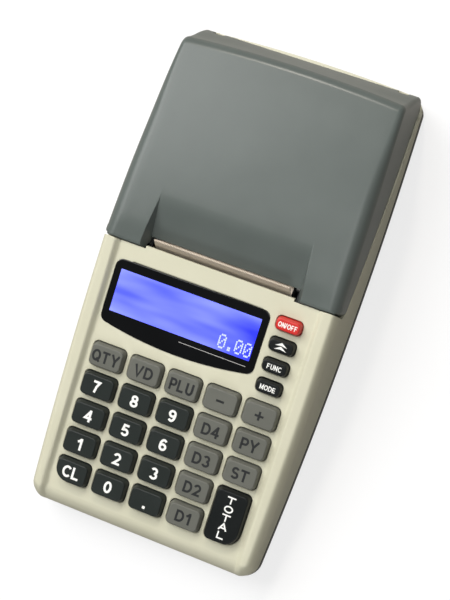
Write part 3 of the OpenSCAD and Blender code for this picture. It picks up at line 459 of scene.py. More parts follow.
# Height of the seam over the split and of its chamfer, and where the draft ends.
SEAM_UP, SEAM_H, DRAFT_TOP_Z = 0.12, 0.3, 45
# The skin stays a hair inside the solid's deck and rails, and the rails start off the deck.
DECK_DIP, RAIL_DIP, RAIL_START = 0.04, 0.1, 0.2
# Mesh columns over each rail and half the deck, and the deck's largest share of the width.
RAIL_COLUMNS, DECK_COLUMNS, DECK_SHARE = 9, 6, 0.96
TRAY_COLUMNS, TRAY_ROLL = 12, 1.6
# Thickness of the deck, and a distance well past the housing's sides.
DECK_T, BEYOND = 1.4, 70


def corner_x(end):
    """Where the middle of a corner's rounding lies: at the rear for 1, in front for -1."""
    return half_w(end * CORNER_Y) - CORNER_R


def rim_point(kind, v, inset):
    """A point of the housing's outline, moved in by inset. v is its place on that stretch of it."""
    side = -1 if "left" in kind else 1
    if kind in ("right", "left"):
        return side * half_w(v, inset), v
    if kind == "front":
        return v, FRONT + inset
    if kind == "rear":
        return v, rear_edge(v, inset)
    end = 1 if "rear" in kind else -1
    x, a, r = corner_x(end), radians(90 * v), CORNER_R - inset
    drop = x * x / (2 * REAR_BOW) * (1 - cos(a)) ** 2 if end > 0 else 0
    return side * (x + r * cos(a)), end * CORNER_Y - drop + end * r * sin(a)


def rim_walk(columns):
    """The outline as (kind, place, share of the front): right side, front, left side, rear."""
    xr = corner_x(1)
    turn = [i / CORNER_STEPS for i in range(1, CORNER_STEPS)]
    walk = [("right", y, 0.0) for y in SIDE_ROWS]
    walk += [("front right", v, soft_step(v)) for v in turn]
    walk += [("front", x, 1.0) for x in columns]
    walk += [("front left", v, soft_step(v)) for v in reversed(turn)]
    walk += [("left", y, 0.0) for y in reversed(SIDE_ROWS)]
    walk += [("rear left", v, 0.0) for v in turn]
    walk += [("rear", -xr + 2 * xr * i / REAR_STEPS, 0.0) for i in range(REAR_STEPS + 1)]
    walk += [("rear right", v, 0.0) for v in reversed(turn)]
    return walk


def top_z(x, y):
    """Height of the deck with its rails, which rise in a soft curve."""
    rise = soft_step((abs(x) - DECK_HALF - RAIL_START) / RAIL_SLOPE_W)
    return deck_z(y) - DECK_DIP + (RAIL_H - RAIL_DIP) / cos(DECK_SLOPE) * rise


def housing_blank():
    """The housing as one solid with rolled edges, from the split up to the deck and its rails."""
    edge = corner_x(-1)

    def columns(reach):
        """Places across the deck, close together over the rails."""
        f = min(DECK_HALF, reach * DECK_SHARE)
        rail = range(RAIL_COLUMNS - 1, -1, -1)
        right = [reach] + [f + (reach - f) * i / RAIL_COLUMNS for i in rail]
        middle = [f * (1 - i / DECK_COLUMNS) for i in range(1, 2 * DECK_COLUMNS)]
        return right + middle + [-x for x in reversed(right)]

    walk = rim_walk(columns(edge))
    n, across = len(walk), len(columns(edge))
    rings = []

    def add_ring(inset_of, z_of):
        """One ring round the housing, from its inset and height at each point."""
        row = []
        for kind, v, front in walk:
            inset = inset_of(front)
            x, y = rim_point(kind, v, inset)
            z = z_of(x, y, front)
            lean = DRAFT * (min(z, DRAFT_TOP_Z) - SPLIT_Z) * (1 - inset / DEEPEST)
            x, y = rim_point(kind, v, inset + lean)
            row.append((x, y, z))
        rings.append(row)

    def roll(front):
        """Width of the edge's roll."""
        return SIDE_ROLL + (FRONT_ROLL - SIDE_ROLL) * front

    def tall(front):
        """Height of the roll: round in front, more than twice as tall as wide along the sides."""
        return roll(front) * (2.2 - 1.2 * front)

    low = SPLIT_Z + SEAM_UP
    add_ring(lambda f: SEAM_INSET, lambda x, y, f: low)
    add_ring(lambda f: WALL_INSET, lambda x, y, f: low + SEAM_H)
    for s in (0.25, 0.6, 0.85):
        add_ring(lambda f: WALL_INSET,
                 lambda x, y, f: (low + SEAM_H) * (1 - s) + (top_z(x, y) - tall(f)) * s)
    for i in range(10):
        a = radians(10 * i)
        add_ring(lambda f: WALL_INSET + roll(f) * (1 - cos(a)),
                 lambda x, y, f: top_z(x, y) - tall(f) * (1 - sin(a)))
    for s in (0.25, 0.5, 0.75, 1.0):
        add_ring(lambda f: (WALL_INSET + roll(f)) * (1 - s) + DEEPEST * s,
                 lambda x, y, f: top_z(x, y))
    points = [p for row in rings for p in row]
    faces = [tuple(range(n))]
    base = (len(rings) - 1) * n
    for a in range(0, base, n):
        faces += [(a + i, a + n + i, a + n + (i + 1) % n, a + (i + 1) % n) for i in range(n)]
    # rows from side to side over the deck, inside the last ring
    rows, corner = len(SIDE_ROWS), CORNER_STEPS - 1
    front = [base + rows + corner + i for i in range(across)]
    left_base = base + rows + corner + across + corner
    grid = []
    for i, y in enumerate(SIDE_ROWS):
        row = [base + i]
        if i == rows - 1:
            row += front[1:-1]
        else:
            for x in columns(points[base + i][0])[1:-1]:
                points.append((x, y, top_z(x, y)))
                row.append(len(points) - 1)
        row.append(left_base + rows - 1 - i)
        grid.append(row)
    for a, b in zip(grid, grid[1:]):
        faces += [(a[i], a[i + 1], b[i + 1], b[i]) for i in range(across - 1)]
    right_corner = [base + rows - 1 + i for i in range(corner + 1)]
    faces.append(tuple(right_corner + front[:2]))
    left_corner = [front[-1] + 1 + i for i in range(corner)]
    faces.append(tuple([front[-2], front[-1]] + left_corner + [left_base]))
    faces.append(tuple(list(range(left_base + rows - 1, base + n)) + [base] + grid[0][1:-1]))
    return skin("upper_shell", points, faces)


def tray_blank():
    """The tray as one solid, with its floor edge rolled."""
    edge = corner_x(-1)
    walk = rim_walk([edge - 2 * edge * i / TRAY_COLUMNS for i in range(TRAY_COLUMNS + 1)])
    side = [(0.3, SPLIT_Z - 0.1), (0.05, SPLIT_Z - 0.35), (0.05, 5.5), (0.1, 4.0)]
    side += [(0.12 + TRAY_ROLL * (1 - cos(a)), FLOOR_Z + 0.05 + TRAY_ROLL * (1 - sin(a)))
             for a in map(radians, (12, 25, 40, 55, 70, 90))]
    return loft("lower_tray", [[rim_point(kind, v, inset) + (z,) for kind, v, _ in walk]
                               for inset, z in side])


def carve(blank, node_name, regions):
    """Gives a blank the rooms, holes and inner walls that its solid has in these regions."""
    for region in regions:
        work(region, solid_copy("solid", node_name))
        work(blank, region)


def under_deck():
    """The room under the deck, up to its underside."""
    o = box("region", (-BEYOND, FRONT + 1.5, -5), (BEYOND, JOINT_Y - 0.02, 200))
    for v in o.data.vertices:
        if v.co.z > 0.15:
            v.co.z = (deck_z(v.co.y / MM) - DECK_T) * MM
    return o


PAD_ROWS = (("qty", "vd", "plu", "minus", "plus"), ("7", "8", "9", "d4", "py"),
            ("4", "5", "6", "d3", "st"), ("1", "2", "3", "d2", "total"), ("cl", "0", "point", "d1"))
SIGNS = {"minus": "-", "plus": "+", "point": "."}
SIDE_KEYS = (("on_off", "ON/OFF"), ("feed", "arrows"), ("func", "FUNC"), ("mode", "MODE"))
COL, ROW, TOP_ROW, MIDDLE_COL = 16.5, 12.35, 46.5, 2
KEY_W, KEY_D, KEY_H, KEY_R, KEY_BIG_R = 14.2, 9.8, 3.0, 2.0, 6.0
SIDE_W, SIDE_D, SIDE_PITCH, SIDE_FIRST, SIDE_X = 10.5, 5.4, 8.5, 9.5, 32.7
SIDE_R = 1.8
KEY_GAP = 0.35
# The chamfer round each key hole.
HOLE_TRIM, CHAMFER_LOW, CHAMFER_HIGH, CHAMFER_OUT = 0.1, -0.3, 1.7, 1.95
WIN_X, WIN_W, WIN_TOP, WIN_H, WIN_BOW = -8.2, 65.8, -6.9, 26.4, 3.0
VIEW_W, VIEW_H, VIEW_TOP = 60.2, 17.5, -10.7


def pad_keys():
    """Each key of the pad: name, middle on the deck and depth. TOTAL fills two rows."""
    for row, names in enumerate(PAD_ROWS):
        for col, name in enumerate(names):
            more = ROW if name == "total" else 0
            yield name, (col - MIDDLE_COL) * COL, -(TOP_ROW + row * ROW + more / 2), KEY_D + more


def pad_colour(name):
    """Digits, point and CL are charcoal, TOTAL is black and the rest gray."""
    if name.isdigit() or name in ("cl", "point"):
        return "dark"
    return "black" if name == "total" else "gray"


def rounded(name, w, d, low, high, radii):
    """A block centred on the origin, its upright corners rounded: front left, front right, rear."""
    o = box(name, (-w / 2, -d / 2, low), (w / 2, d / 2, high))
    places = (lambda x, y: x < 0 and y < 0, lambda x, y: x > 0 and y < 0, lambda x, y: y > 0)
    for r, here in zip(radii, places):
        def at_corner(e):
            x, y = e.verts[0].co[:2]
            return (upright(e) and abs(abs(x) - w / 2 * MM) < EDGE_SPOT
                    and abs(abs(y) - d / 2 * MM) < EDGE_SPOT and here(x, y))
        bevel(o, at_corner, r, 6)
    return o


def corner_radii(name):
    """A pad key's radii. The keys in the pad's two front corners have a large one."""
    return (KEY_BIG_R if name == "cl" else KEY_R, KEY_BIG_R if name == "total" else KEY_R, KEY_R)


def spread(o, z_test, out, w, d):
    """Scales the vertices at some height outwards by so much on each side."""
    choose(o, "VERT", lambda v: z_test(v.co.z / MM))
    bpy.ops.transform.resize(value=(1 + 2 * out / w, 1 + 2 * out / d, 1), center_override=(0, 0, 0))
    close()
    return o


def chamfer_tool(w, d, radii):
    """Cuts a fine chamfer round the hole of a key of this size."""
    w, d = w + 2 * KEY_GAP - HOLE_TRIM, d + 2 * KEY_GAP - HOLE_TRIM
    o = rounded("tool", w, d, CHAMFER_LOW, CHAMFER_HIGH, tuple(r + 0.3 for r in radii))
    return spread(o, lambda z: z > 1, CHAMFER_OUT, w, d)


def window_outline(g):
    """Rounded rectangle with a bowed front edge, grown by g."""
    w, y0, y1, r = WIN_W / 2 + g, WIN_TOP - WIN_H - g, WIN_TOP + g, 3.0 + g
    half = w - r
    big = (half * half + WIN_BOW ** 2) / (2 * WIN_BOW)
    a = degrees(asin(half / big))
    out = arc(-half, y0 + r, r, 180, 270 - a / 2, 5)
    out += arc(0, y0 - WIN_BOW + big, big, 270 - a, 270 + a, 24)
    out += arc(half, y0 + r, r, 270 + a / 2, 360, 5) + arc(half, y1 - r, r, 0, 90, 6)
    out += arc(-half, y1 - r, r, 90, 180, 6)
    return [(x + WIN_X, y) for x, y in out]


def make_upper_shell():
    """The cream housing, with its deck, rails, key holes and rim."""
    shell = housing_blank()
    behind = box("region", (-BEYOND, JOINT_Y - 0.03, -5), (BEYOND, REAR + 9, 95))
    pad = box("region", (-DECK_HALF + 0.1, FRONT + 8, -5), (DECK_HALF - 0.1, JOINT_Y - 0.01, 95))
    carve(shell, "upper_housing", [behind, pad, under_deck()])
    tools = []
    for name, x, y, d in pad_keys():
        tools.append(place(chamfer_tool(KEY_W, d, corner_radii(name)), shift(x, y)))
    for i in range(len(SIDE_KEYS)):
        tool = chamfer_tool(SIDE_W, SIDE_D, (SIDE_R,) * 3)
        tools.append(place(tool, shift(SIDE_X, -SIDE_FIRST - i * SIDE_PITCH)))
    for tool in tools:
        work(shell, place(tool, DECK))
    smooth(shell, 24)
    dress(shell, CREAM)
    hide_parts("upper_housing")


def make_lower_tray():
    tray = tray_blank()
    carve(tray, "lower_housing", [box("region", (-BEYOND, FRONT - 5, 1.0), (BEYOND, REAR + 5, 20))])
    smooth(tray, 28)
    dress(tray, BLACK_ABS)
    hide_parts("lower_housing")


make_upper_shell()
make_lower_tray()


# ---------- paper cover ----------

COVER_FRONT, COVER_FRONT_Z = JOINT_Y + GAP, 44.2
BEND_Y, BEND_Z, ARCH, BEND_R = 91.5, 45.0, 2.78, 5.0
RAMP_FOOT_Y, RAMP_FOOT_Z, RAMP_TOP_Y, RAMP_SOFT, NOTCH_HALF = 11.4, 38.6, 26.0, 2.0, 32.0
NOTCH_FOOT = NOTCH_HALF - 0.3
COVER_WALL = 2.0
# How far its sides stand and lean in, and the radii of its front corners and side edges.
COVER_INSET, COVER_LEAN, COVER_CORNER, COVER_ROLL = 1.05, 0.035, 3.0, 5.2
# The deck's rails run out on its front: drop beside them, length, inner edge and blend.
RUNOUT_DROP, RUNOUT_LEN, RUNOUT_X, RUNOUT_BLEND = 1.1, 9, 40.8, 5.0
COVER_BOW, SIDE_FALL, SIDE_FALL_X = 600, 0.3, 48
FRONT_EDGE_R, TOP_ROWS, BEND_ROWS, REAR_ROWS, BARREL_ROWS = 0.8, 34, 8, 5, 7
# How far each row of the front edge lies lower within the notch.
FRONT_DROPS = (0.0, 3.0, 5.7)
# Between these rows the side walls fan out backwards. Those after run to the hinge.
FAN_FIRST, FAN_LAST, FAN_SHARE = 5, 40, 0.06


def crown_z(y):
    """Height of the cover's arched top."""
    t = (y - COVER_FRONT) / (BEND_Y - COVER_FRONT)
    return COVER_FRONT_Z + (BEND_Z - COVER_FRONT_Z) * t + 4 * ARCH * t * (1 - t)


def ramp_drop(y):
    """How far the ramp lies under the top. It runs out into the top in a soft curve."""
    slope = (crown_z(RAMP_FOOT_Y) - RAMP_FOOT_Z) / (RAMP_TOP_Y - RAMP_FOOT_Y)
    if y < RAMP_TOP_Y - RAMP_SOFT:
        return slope * (RAMP_TOP_Y - max(y, 9.0))
    return slope * max(RAMP_TOP_Y + RAMP_SOFT - y, 0) ** 2 / (4 * RAMP_SOFT)


def cover_half(y, z):
    return half_w(y, COVER_INSET) - COVER_LEAN * max(z - part_z(y), 0)


def cover_shape(x, y, z):
    """Bends the cover's plain form: its front corners round off, the deck's rails run out on it,
    its rear edge bows, its top crowns."""
    if y < COVER_FRONT + 6:
        half, drop = cover_half(y, z), max(crown_z(y) - z, 0)
        ahead = max(COVER_FRONT + COVER_CORNER - y, 0)
        reach = half - COVER_CORNER + sqrt(max(COVER_CORNER ** 2 - ahead ** 2, 0))
        if drop < COVER_ROLL:
            rolled = sqrt(COVER_ROLL ** 2 - (COVER_ROLL - drop) ** 2)
            reach = min(reach, half - COVER_ROLL + rolled)
        x = max(-reach, min(x, reach))
    if abs(x) > NOTCH_HALF - 0.1 and z > 38 and y < 30:
        z -= (RUNOUT_DROP * (1 - soft_step((y - COVER_FRONT) / RUNOUT_LEN))
              * (1 - soft_step((abs(x) - RUNOUT_X) / RUNOUT_BLEND)))
    y -= soft_step((y - 50) / 40) * soft_step((z - 20) / 20) * x * x / (2 * COVER_BOW)
    if z > 28:
        z -= SIDE_FALL * (x / SIDE_FALL_X) ** 2 * soft_step((y - COVER_FRONT) / 20)
    return x, y, z


def barrel_touch():
    """Angle on the barrel where the rear face runs onto it."""
    dy, dz = BEND_Y - HINGE_Y, BEND_Z - HINGE_Z
    return degrees(atan2(dz, dy) - acos(BARREL_R / hypot(dy, dz)))


def cover_path():
    """Side view of the cover's skin, from the foot of its front edge over the top and round the
    barrel: y, z, angle of the surface and radius of the rounding at the sides."""
    edge = FRONT_EDGE_R
    path = [(COVER_FRONT, z, -90, r) for z, r in ((36.6, 1.0), (40.0, 1.6), (43.0, 2.4))]
    for a in (-60, -30):
        path.append((COVER_FRONT + edge * (1 + sin(radians(a))),
                     crown_z(COVER_FRONT) - edge * (1 - cos(radians(a))), a, 4.6))
    touch = barrel_touch()
    last = BEND_Y - BEND_R * 0.55
    for i in (0, 0.25, 0.6) + tuple(range(1, TOP_ROWS + 1)):
        y = COVER_FRONT + edge + (last - COVER_FRONT - edge) * i / TOP_ROWS
        slope = degrees(atan((crown_z(y + 0.1) - crown_z(y - 0.1)) / 0.2))
        path.append((y, crown_z(y), -slope, COVER_ROLL - 2.6 * soft_step((y - 50) / 40)))
    # round the bend at the rear
    y0, z0, a0, r0 = path[-1]
    cy, cz = y0 - BEND_R * sin(radians(a0)), z0 - BEND_R * cos(radians(a0))
    for i in range(1, BEND_ROWS + 1):
        a = a0 + (90 - touch - a0) * i / BEND_ROWS
        path.append((cy + BEND_R * sin(radians(a)),
                     cz + BEND_R * cos(radians(a)), a, r0 - 0.5 * i / BEND_ROWS))
    # straight down the rear face to the barrel
    y1, z1, a1, r1 = path[-1]
    ty, tz = polar(HINGE_Y, HINGE_Z, BARREL_R, touch)
    for i in range(1, REAR_ROWS + 1):
        path.append((y1 + (ty - y1) * i / REAR_ROWS, z1 + (tz - z1) * i / REAR_ROWS, a1,
                     r1 - 0.4 * i / REAR_ROWS))
    # round the barrel
    for i in range(1, BARREL_ROWS + 1):
        a = touch + (-90 - touch) * i / BARREL_ROWS
        path.append(polar(HINGE_Y, HINGE_Z, BARREL_R, a) + (90 - a, 1.6 - 1.2 * i / BARREL_ROWS))
    return path


def skirt_z(y):
    """Lower edge of the cover's sides."""
    a = radians(270) - atan(PART_TAN)
    if y < PART_Y + SKIRT_R * cos(a):
        return PART_C - sqrt(max(SKIRT_R ** 2 - (y - PART_Y) ** 2, 0))
    end = HINGE_Y - BARREL_R + 0.2
    line = PART_C - SKIRT_R * PART_K - PART_TAN * (min(y, end) - PART_Y)
    return line + (HINGE_Z - BARREL_R - line) * min(max(y - end, 0) / 1.8, 1)


def cover_skin():
    """Outside of the cover as a closed shape, flat underneath."""
    path = cover_path()
    rows = []
    for i, (y, z, a, r) in enumerate(path):
        ca, sa = cos(radians(a)), sin(radians(a))
        w = cover_half(y, z)
        drop = FRONT_DROPS[i] if i < len(FRONT_DROPS) else ramp_drop(y)
        soft = min(drop, 1.0)
        lip = NOTCH_FOOT + 0.27 * drop
        # half a row: the notch's floor, its flank, the top beside it, the rolled edge, the side
        row = [(NOTCH_FOOT * f, y, z - drop) for f in (0.0, 0.2, 0.4, 0.6, 0.8, 0.96)]
        row += [(NOTCH_FOOT, y, z - drop + 0.06 * soft),
                (NOTCH_FOOT + 0.12, y, z - drop + 0.3 * soft),
                (lip + 0.14, y, z - 0.35 * soft), (lip + 0.3, y, z - 0.1 * soft), (lip + 0.6, y, z)]
        side = w - r
        row += [(lip + 0.6 + (side - lip - 0.6) * f, y, z) for f in (0.2, 0.4, 0.6, 0.8, 1.0)]
        for b in range(15, 91, 15):
            sb, cb = sin(radians(b)), cos(radians(b))
            row.append((w - r + r * sb, y - r * (1 - cb) * sa, z - r * (1 - cb) * ca))
        ey, ez = row[-1][1:]
        near = COVER_FRONT + 0.1
        if i < FAN_FIRST:
            by = COVER_FRONT + 0.02 * i
        elif i <= FAN_LAST:
            share = (i - FAN_FIRST) / (FAN_LAST - FAN_FIRST)
            by = near + (ey - COVER_FRONT - 0.1) * (1 - FAN_SHARE * share ** 2)
        else:
            start = near + (path[FAN_LAST][0] - COVER_FRONT - 0.1) * (1 - FAN_SHARE)
            by = start + (HINGE_Y - start) * (i - FAN_LAST) / (len(path) - 1 - FAN_LAST)
        bz = min(skirt_z(by), ez - 0.05)
        for s in (0.25, 0.5, 0.75, 1.0):
            py, pz = ey + (by - ey) * s, ez + (bz - ez) * s
            row.append((cover_half(py, pz), py, pz))
        rows.append(row)
    points, faces, full = [], [], []
    for row in rows:
        whole = [(-x, y, z) for x, y, z in reversed(row[1:])] + row
        full.append(range(len(points), len(points) + len(whole)))
        points += [cover_shape(*p) for p in whole]
    for a, b in zip(full, full[1:]):
        faces += [(a[i], a[i + 1], b[i + 1], b[i]) for i in range(len(a) - 1)]
        faces.append((a[-1], a[0], b[0], b[-1]))
    faces += [tuple(full[0]), tuple(full[-1])]
    return skin("cover_shell", points, faces, merge=0.002)


def cover_hollow():
    """Space inside the cover, with a wall left round the notch."""
    side = [(8.4, 4), (8.4, 41.4)]
    side += [(y, crown_z(y) - COVER_WALL - 0.4)
             for y in (14, 20, 26, 32, 38, 46, 55, 65, 75, 84, 88.0)]
    side += [(90.4, 40.5), (92.6, 32), (94.4, 22.5), (92.0, 21.5), (91.2, 4)]
    rings = [[cover_shape(f * (cover_half(y, z) - COVER_WALL), y, z) for y, z in side]
             for f in (-1, -0.75, -0.5, -0.25, 0, 0.25, 0.5, 0.75, 1)]
    hollow = loft("hollow", rings)
    # the wall round the notch: a front as deep as the hollow, then a floor under the ramp
    steps, reach, lean, wall = 14, NOTCH_HALF + 1.8, 1.6, 1.9
    step = (RAMP_TOP_Y + 1 - RAMP_FOOT_Y) / steps
    ys = [4.0, RAMP_FOOT_Y - 1.8] + [RAMP_FOOT_Y - 1.75 + step * i for i in range(steps + 1)]
    rings = []
    for i, y in enumerate(ys):
        low = 3.0 if i < 2 else crown_z(y) - ramp_drop(y) - wall
        rings.append([(-reach, y, low), (reach, y, low),
                      (reach + lean, y, 60), (-reach - lean, y, 60)])
    return work(hollow, loft("notch_wall", rings))


def make_cover():
    """The smoked cover, hollow, with its slot and hinge barrel."""
    cover = cover_skin()
    work(cover, box("slot", (-NOTCH_FOOT, 4, 5), (NOTCH_FOOT, RAMP_FOOT_Y, 60)))
    work(cover, cover_hollow())
    work(cover, box("front_gap", (-44.5, 4, 8), (44.5, 8.6, 38.6)))
    for x in (-LUG_X, LUG_X):
        work(cover, box("lug_gap", (x - LUG_GAP, HINGE_Y - 6, 5),
                        (x + LUG_GAP, REAR, HINGE_Z + 4.9)))
        work(cover, rod("pin_hole", PIN_HOLE_R, (x - PIN_REACH, HINGE_Y, HINGE_Z),
                        (x + PIN_REACH, HINGE_Y, HINGE_Z)))
    smooth(cover, 30)
    dress(cover, SMOKE, "cover")
    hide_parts("paper_cover")


make_cover()


# ---------- keys ----------

SHANK_LOW, TAPER_FROM, KEY_EDGE, TOP_INSET = -2.3, 0.6, 0.4, 0.5
FLANGE_OUT, FLANGE_T = 1.3, 1.0
KEY_TOP = KEY_H - 0.01


def key_cap(w, d, radii, taper=0.6):
    """A key: flange under the deck, straight shank, tapered cap with a flat top and a soft edge."""
    o = rounded("cap", w, d, SHANK_LOW, KEY_H, radii)
    choose(o, "FACE", lambda f: True)
    bpy.ops.mesh.bisect(plane_co=(0, 0, TAPER_FROM * MM), plane_no=(0, 0, 1))
    close()
    spread(o, lambda z: z > KEY_TOP, -taper, w, d)
    bevel(o, lambda e: all(v.co.z > KEY_TOP * MM for v in e.verts), KEY_EDGE, 4)
    choose(o, "FACE", lambda f: f.normal.z > 0.99 and f.calc_center_median().z > KEY_TOP * MM)
    bpy.ops.mesh.inset(thickness=TOP_INSET * MM)
    close()
    choose(o, "FACE", lambda f: f.normal.z < -0.99)
    bpy.ops.mesh.extrude_region_move()
    bpy.ops.transform.resize(value=(1 + FLANGE_OUT / w, 1 + FLANGE_OUT / d, 1),
                             center_override=(0, 0, SHANK_LOW * MM))
    bpy.ops.mesh.extrude_region_move(TRANSFORM_OT_translate={"value": (0, 0, -FLANGE_T * MM)})
    close()
    return smooth(outward(o), 35)


def bow(cx, cy, rx, ry, a0, a1):
    """Part of an ellipse, from one angle to another."""
    n = max(int(abs(a1 - a0) / 15), 2)
    turn = [radians(a0 + (a1 - a0) * i / n) for i in range(n + 1)]
    return [(cx + rx * cos(a), cy + ry * sin(a)) for a in turn]


def ring(cx, cy, rx, ry):
    return bow(cx, cy, rx, ry, 0, 360)


# Pen lines of each character, one unit high. A line that ends where it starts is closed.
PEN = {
    "0": [ring(0.34, 0.5, 0.24, 0.4)],
    "1": [[(0.36, 0), (0.36, 1)], [(0.06, 0.69), (0.2, 0.76), (0.34, 0.93)]],
    "2": [bow(0.33, 0.66, 0.23, 0.24, 165, -25) + [(0.4, 0.4), (0.14, 0.1), (0.64, 0.1)]],
    "3": [bow(0.32, 0.7, 0.21, 0.2, 155, -75), bow(0.33, 0.31, 0.24, 0.21, 85, -160)],
    "4": [[(0.47, 0), (0.47, 1)], [(0.45, 0.9), (0.1, 0.31), (0.68, 0.31)]],
    "5": [[(0.6, 0.9), (0.2, 0.9), (0.14, 0.52)] + bow(0.34, 0.33, 0.24, 0.23, 125, -155)],
    "6": [ring(0.35, 0.32, 0.23, 0.22), bow(0.37, 0.5, 0.25, 0.4, 45, 180) + [(0.12, 0.34)]],
    "7": [[(0.05, 0.9), (0.58, 0.9), (0.38, 0.52), (0.28, 0)]],
    "8": [ring(0.34, 0.71, 0.19, 0.19), ring(0.34, 0.3, 0.24, 0.2)],
    "9": [ring(0.33, 0.68, 0.23, 0.22), bow(0.31, 0.5, 0.25, 0.4, -135, 0) + [(0.56, 0.66)]],
    "A": [[(0.08, 0), (0.4, 0.93), (0.72, 0)], [(0.2, 0.3), (0.6, 0.3)]],
    "C": [bow(0.42, 0.5, 0.32, 0.4, 42, 318)],
    "D": [[(0.1, 0.1), (0.1, 0.9), (0.34, 0.9)] + bow(0.34, 0.5, 0.32, 0.4, 75, -75)
          + [(0.34, 0.1), (0.1, 0.1)]],
    "E": [[(0.62, 0.9), (0.1, 0.9), (0.1, 0.1), (0.64, 0.1)], [(0.1, 0.5), (0.58, 0.5)]],
    "F": [[(0.1, 0), (0.1, 0.9), (0.6, 0.9)], [(0.1, 0.48), (0.52, 0.48)]],
    "L": [[(0.1, 1), (0.1, 0.1), (0.62, 0.1)]],
    "M": [[(0.1, 0), (0.1, 1)], [(0.1, 0.9), (0.41, 0.15), (0.72, 0.9)], [(0.72, 0), (0.72, 1)]],
    "N": [[(0.1, 0), (0.1, 1)], [(0.1, 0.9), (0.6, 0.1)], [(0.6, 0), (0.6, 1)]],
    "O": [ring(0.42, 0.5, 0.32, 0.4)],
    "P": [[(0.1, 0), (0.1, 0.9), (0.38, 0.9)] + bow(0.38, 0.67, 0.2, 0.23, 75, -75)
          + [(0.38, 0.44), (0.1, 0.44)]],
    "Q": [ring(0.42, 0.5, 0.32, 0.4), [(0.48, 0.3), (0.78, 0)]],
    "S": [bow(0.34, 0.7, 0.22, 0.2, 25, 250) + bow(0.34, 0.3, 0.24, 0.2, 75, -155)],
    "T": [[(0, 0.9), (0.72, 0.9)], [(0.36, 0.9), (0.36, 0)]],
    "U": [[(0.1, 1), (0.1, 0.38)] + bow(0.36, 0.38, 0.26, 0.28, 195, 345)
          + [(0.62, 0.38), (0.62, 1)]],
    "V": [[(0.05, 1), (0.37, 0.05), (0.69, 1)]],
    "Y": [[(0.04, 1), (0.37, 0.45), (0.7, 1)], [(0.37, 0.5), (0.37, 0)]],
    "/": [[(0, 0), (0.28, 1)]],
    "-": [[(0, 0.5), (0.62, 0.5)]],
    "+": [[(0, 0.5), (0.68, 0.5)], [(0.34, 0.16), (0.34, 0.84)]],
    ".": [[(0, 0.1), (0.22, 0.1)]],
}


# Gap between characters, ink over and in the key, tiny steps between strokes that cross, and the
# least divisor at a sharp corner.
LETTER_GAP, INK_T, INK_STEP, MITRE = 0.18, 0.03, 0.004, 0.35


def pen_line(points, width, low, high):
    """A flat band of ink along a line, with mitred corners."""
    closed = len(points) > 2 and dist(points[0], points[-1]) < 1e-6
    if closed:
        points = points[:-1]
    n = len(points)
    rings = []
    for i, p in enumerate(points):
        before = points[(i - 1) % n] if closed or i else None
        after = points[(i + 1) % n] if closed or i < n - 1 else None
        sides = []
        for a, b in ((before, p), (p, after)):
            if a and b:
                d = dist(a, b)
                sides.append(((a[1] - b[1]) / d, (b[0] - a[0]) / d))
        mx, my = sum(s[0] for s in sides), sum(s[1] for s in sides)
        k = width / max(mx * sides[0][0] + my * sides[0][1], MITRE) / 2
        mx, my = mx * k, my * k
        rings.append([(p[0] + mx, p[1] + my, low), (p[0] - mx, p[1] - my, low),
                      (p[0] - mx, p[1] - my, high), (p[0] + mx, p[1] + my, high)])
    return loft("ink", rings, closed)


def legend(text, height, weight=0.19, stretch=1.0):
    """Upright bold characters of ink, centred on the origin and flat on the key's top."""
    bands, x, step = [], 0.0, 0
    for c in text:
        for line in PEN[c]:
            scaled = [((x + a * stretch) * height, (b - 0.5) * height) for a, b in line]
            bands.append(pen_line(scaled, weight * height, -INK_T, INK_T + INK_STEP * (step % 3)))
            step += 1
        x += (max(a for line in PEN[c] for a, b in line) + LETTER_GAP) * stretch
    o = join(*bands)
    xs = [v.co.x for v in o.data.vertices]
    return place(o, Matrix.Translation((-(min(xs) + max(xs)) / 2, 0, 0)))


ARROW = ((-2.5, -0.35), (0, 0.0), (2.5, -0.35), (0, 1.2))


def marks(text, dark):
    """The ink of one key, round the origin."""
    if text == "TOTAL":
        return [place(legend(c, 3.0, 0.2, 1.65), shift(0, (2 - i) * 3.7))
                for i, c in enumerate(text)]
    if text == "arrows":
        return [loft("arrow", [[(x, y + b, z) for x, b in ARROW] for z in (-INK_T, INK_T)])
                for y in (-0.95, 0.55)]
    if text == ".":
        return [place(legend(".", 5.2, 0.22), shift(0, -0.2))]
    if text in "-+":
        return [legend(text, 5.4, 0.17)]
    if len(text) > 3:
        return [legend(text, 2.1, 0.17, 0.82 if len(text) > 4 else 0.92)]
    return [legend(text, 5.0 if dark else 4.9, 0.19, 0.9 if len(text) > 2 else 1.0)]


def finish_key(cap, name, text, colour, spot):
    """Colours and prints a key and puts it in its hole in the deck."""
    material = {"dark": KEY_DARK, "black": KEY_BLACK, "gray": KEY_GRAY, "red": KEY_RED}[colour]
    cap.data.materials.append(material)
    ink = marks(text, colour == "dark")
    for m in ink:
        m.data.materials.clear()
        m.data.materials.append(INK_BLACK if colour == "gray" else INK_WHITE)
        place(m, shift(0, 0, KEY_H))
    cap = join(cap, *ink)
    place(cap, DECK @ shift(*spot))
    dress(cap, None, "key_" + name + "_body")
    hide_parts("key_" + name)


def make_keys():
    caps = {name: key_cap(KEY_W, KEY_D + (ROW if name == "total" else 0), corner_radii(name))
            for name in ("plain", "cl", "total")}
    for name, x, y, _ in pad_keys():
        cap = twin(caps.get(name, caps["plain"]), "key_cap_" + name)
        finish_key(cap, name, SIGNS.get(name, name.upper()), pad_colour(name), (x, y))
    small = key_cap(SIDE_W, SIDE_D, (SIDE_R,) * 3, 0.5)
    for i, (name, text) in enumerate(SIDE_KEYS):
        cap = twin(small, "key_cap_" + name)
        finish_key(cap, name, text, "red" if name == "on_off" else "black",
                   (SIDE_X, -SIDE_FIRST - i * SIDE_PITCH))
    for o in [small] + list(caps.values()):
        bpy.data.objects.remove(o)


make_keys()


# ---------- display ----------

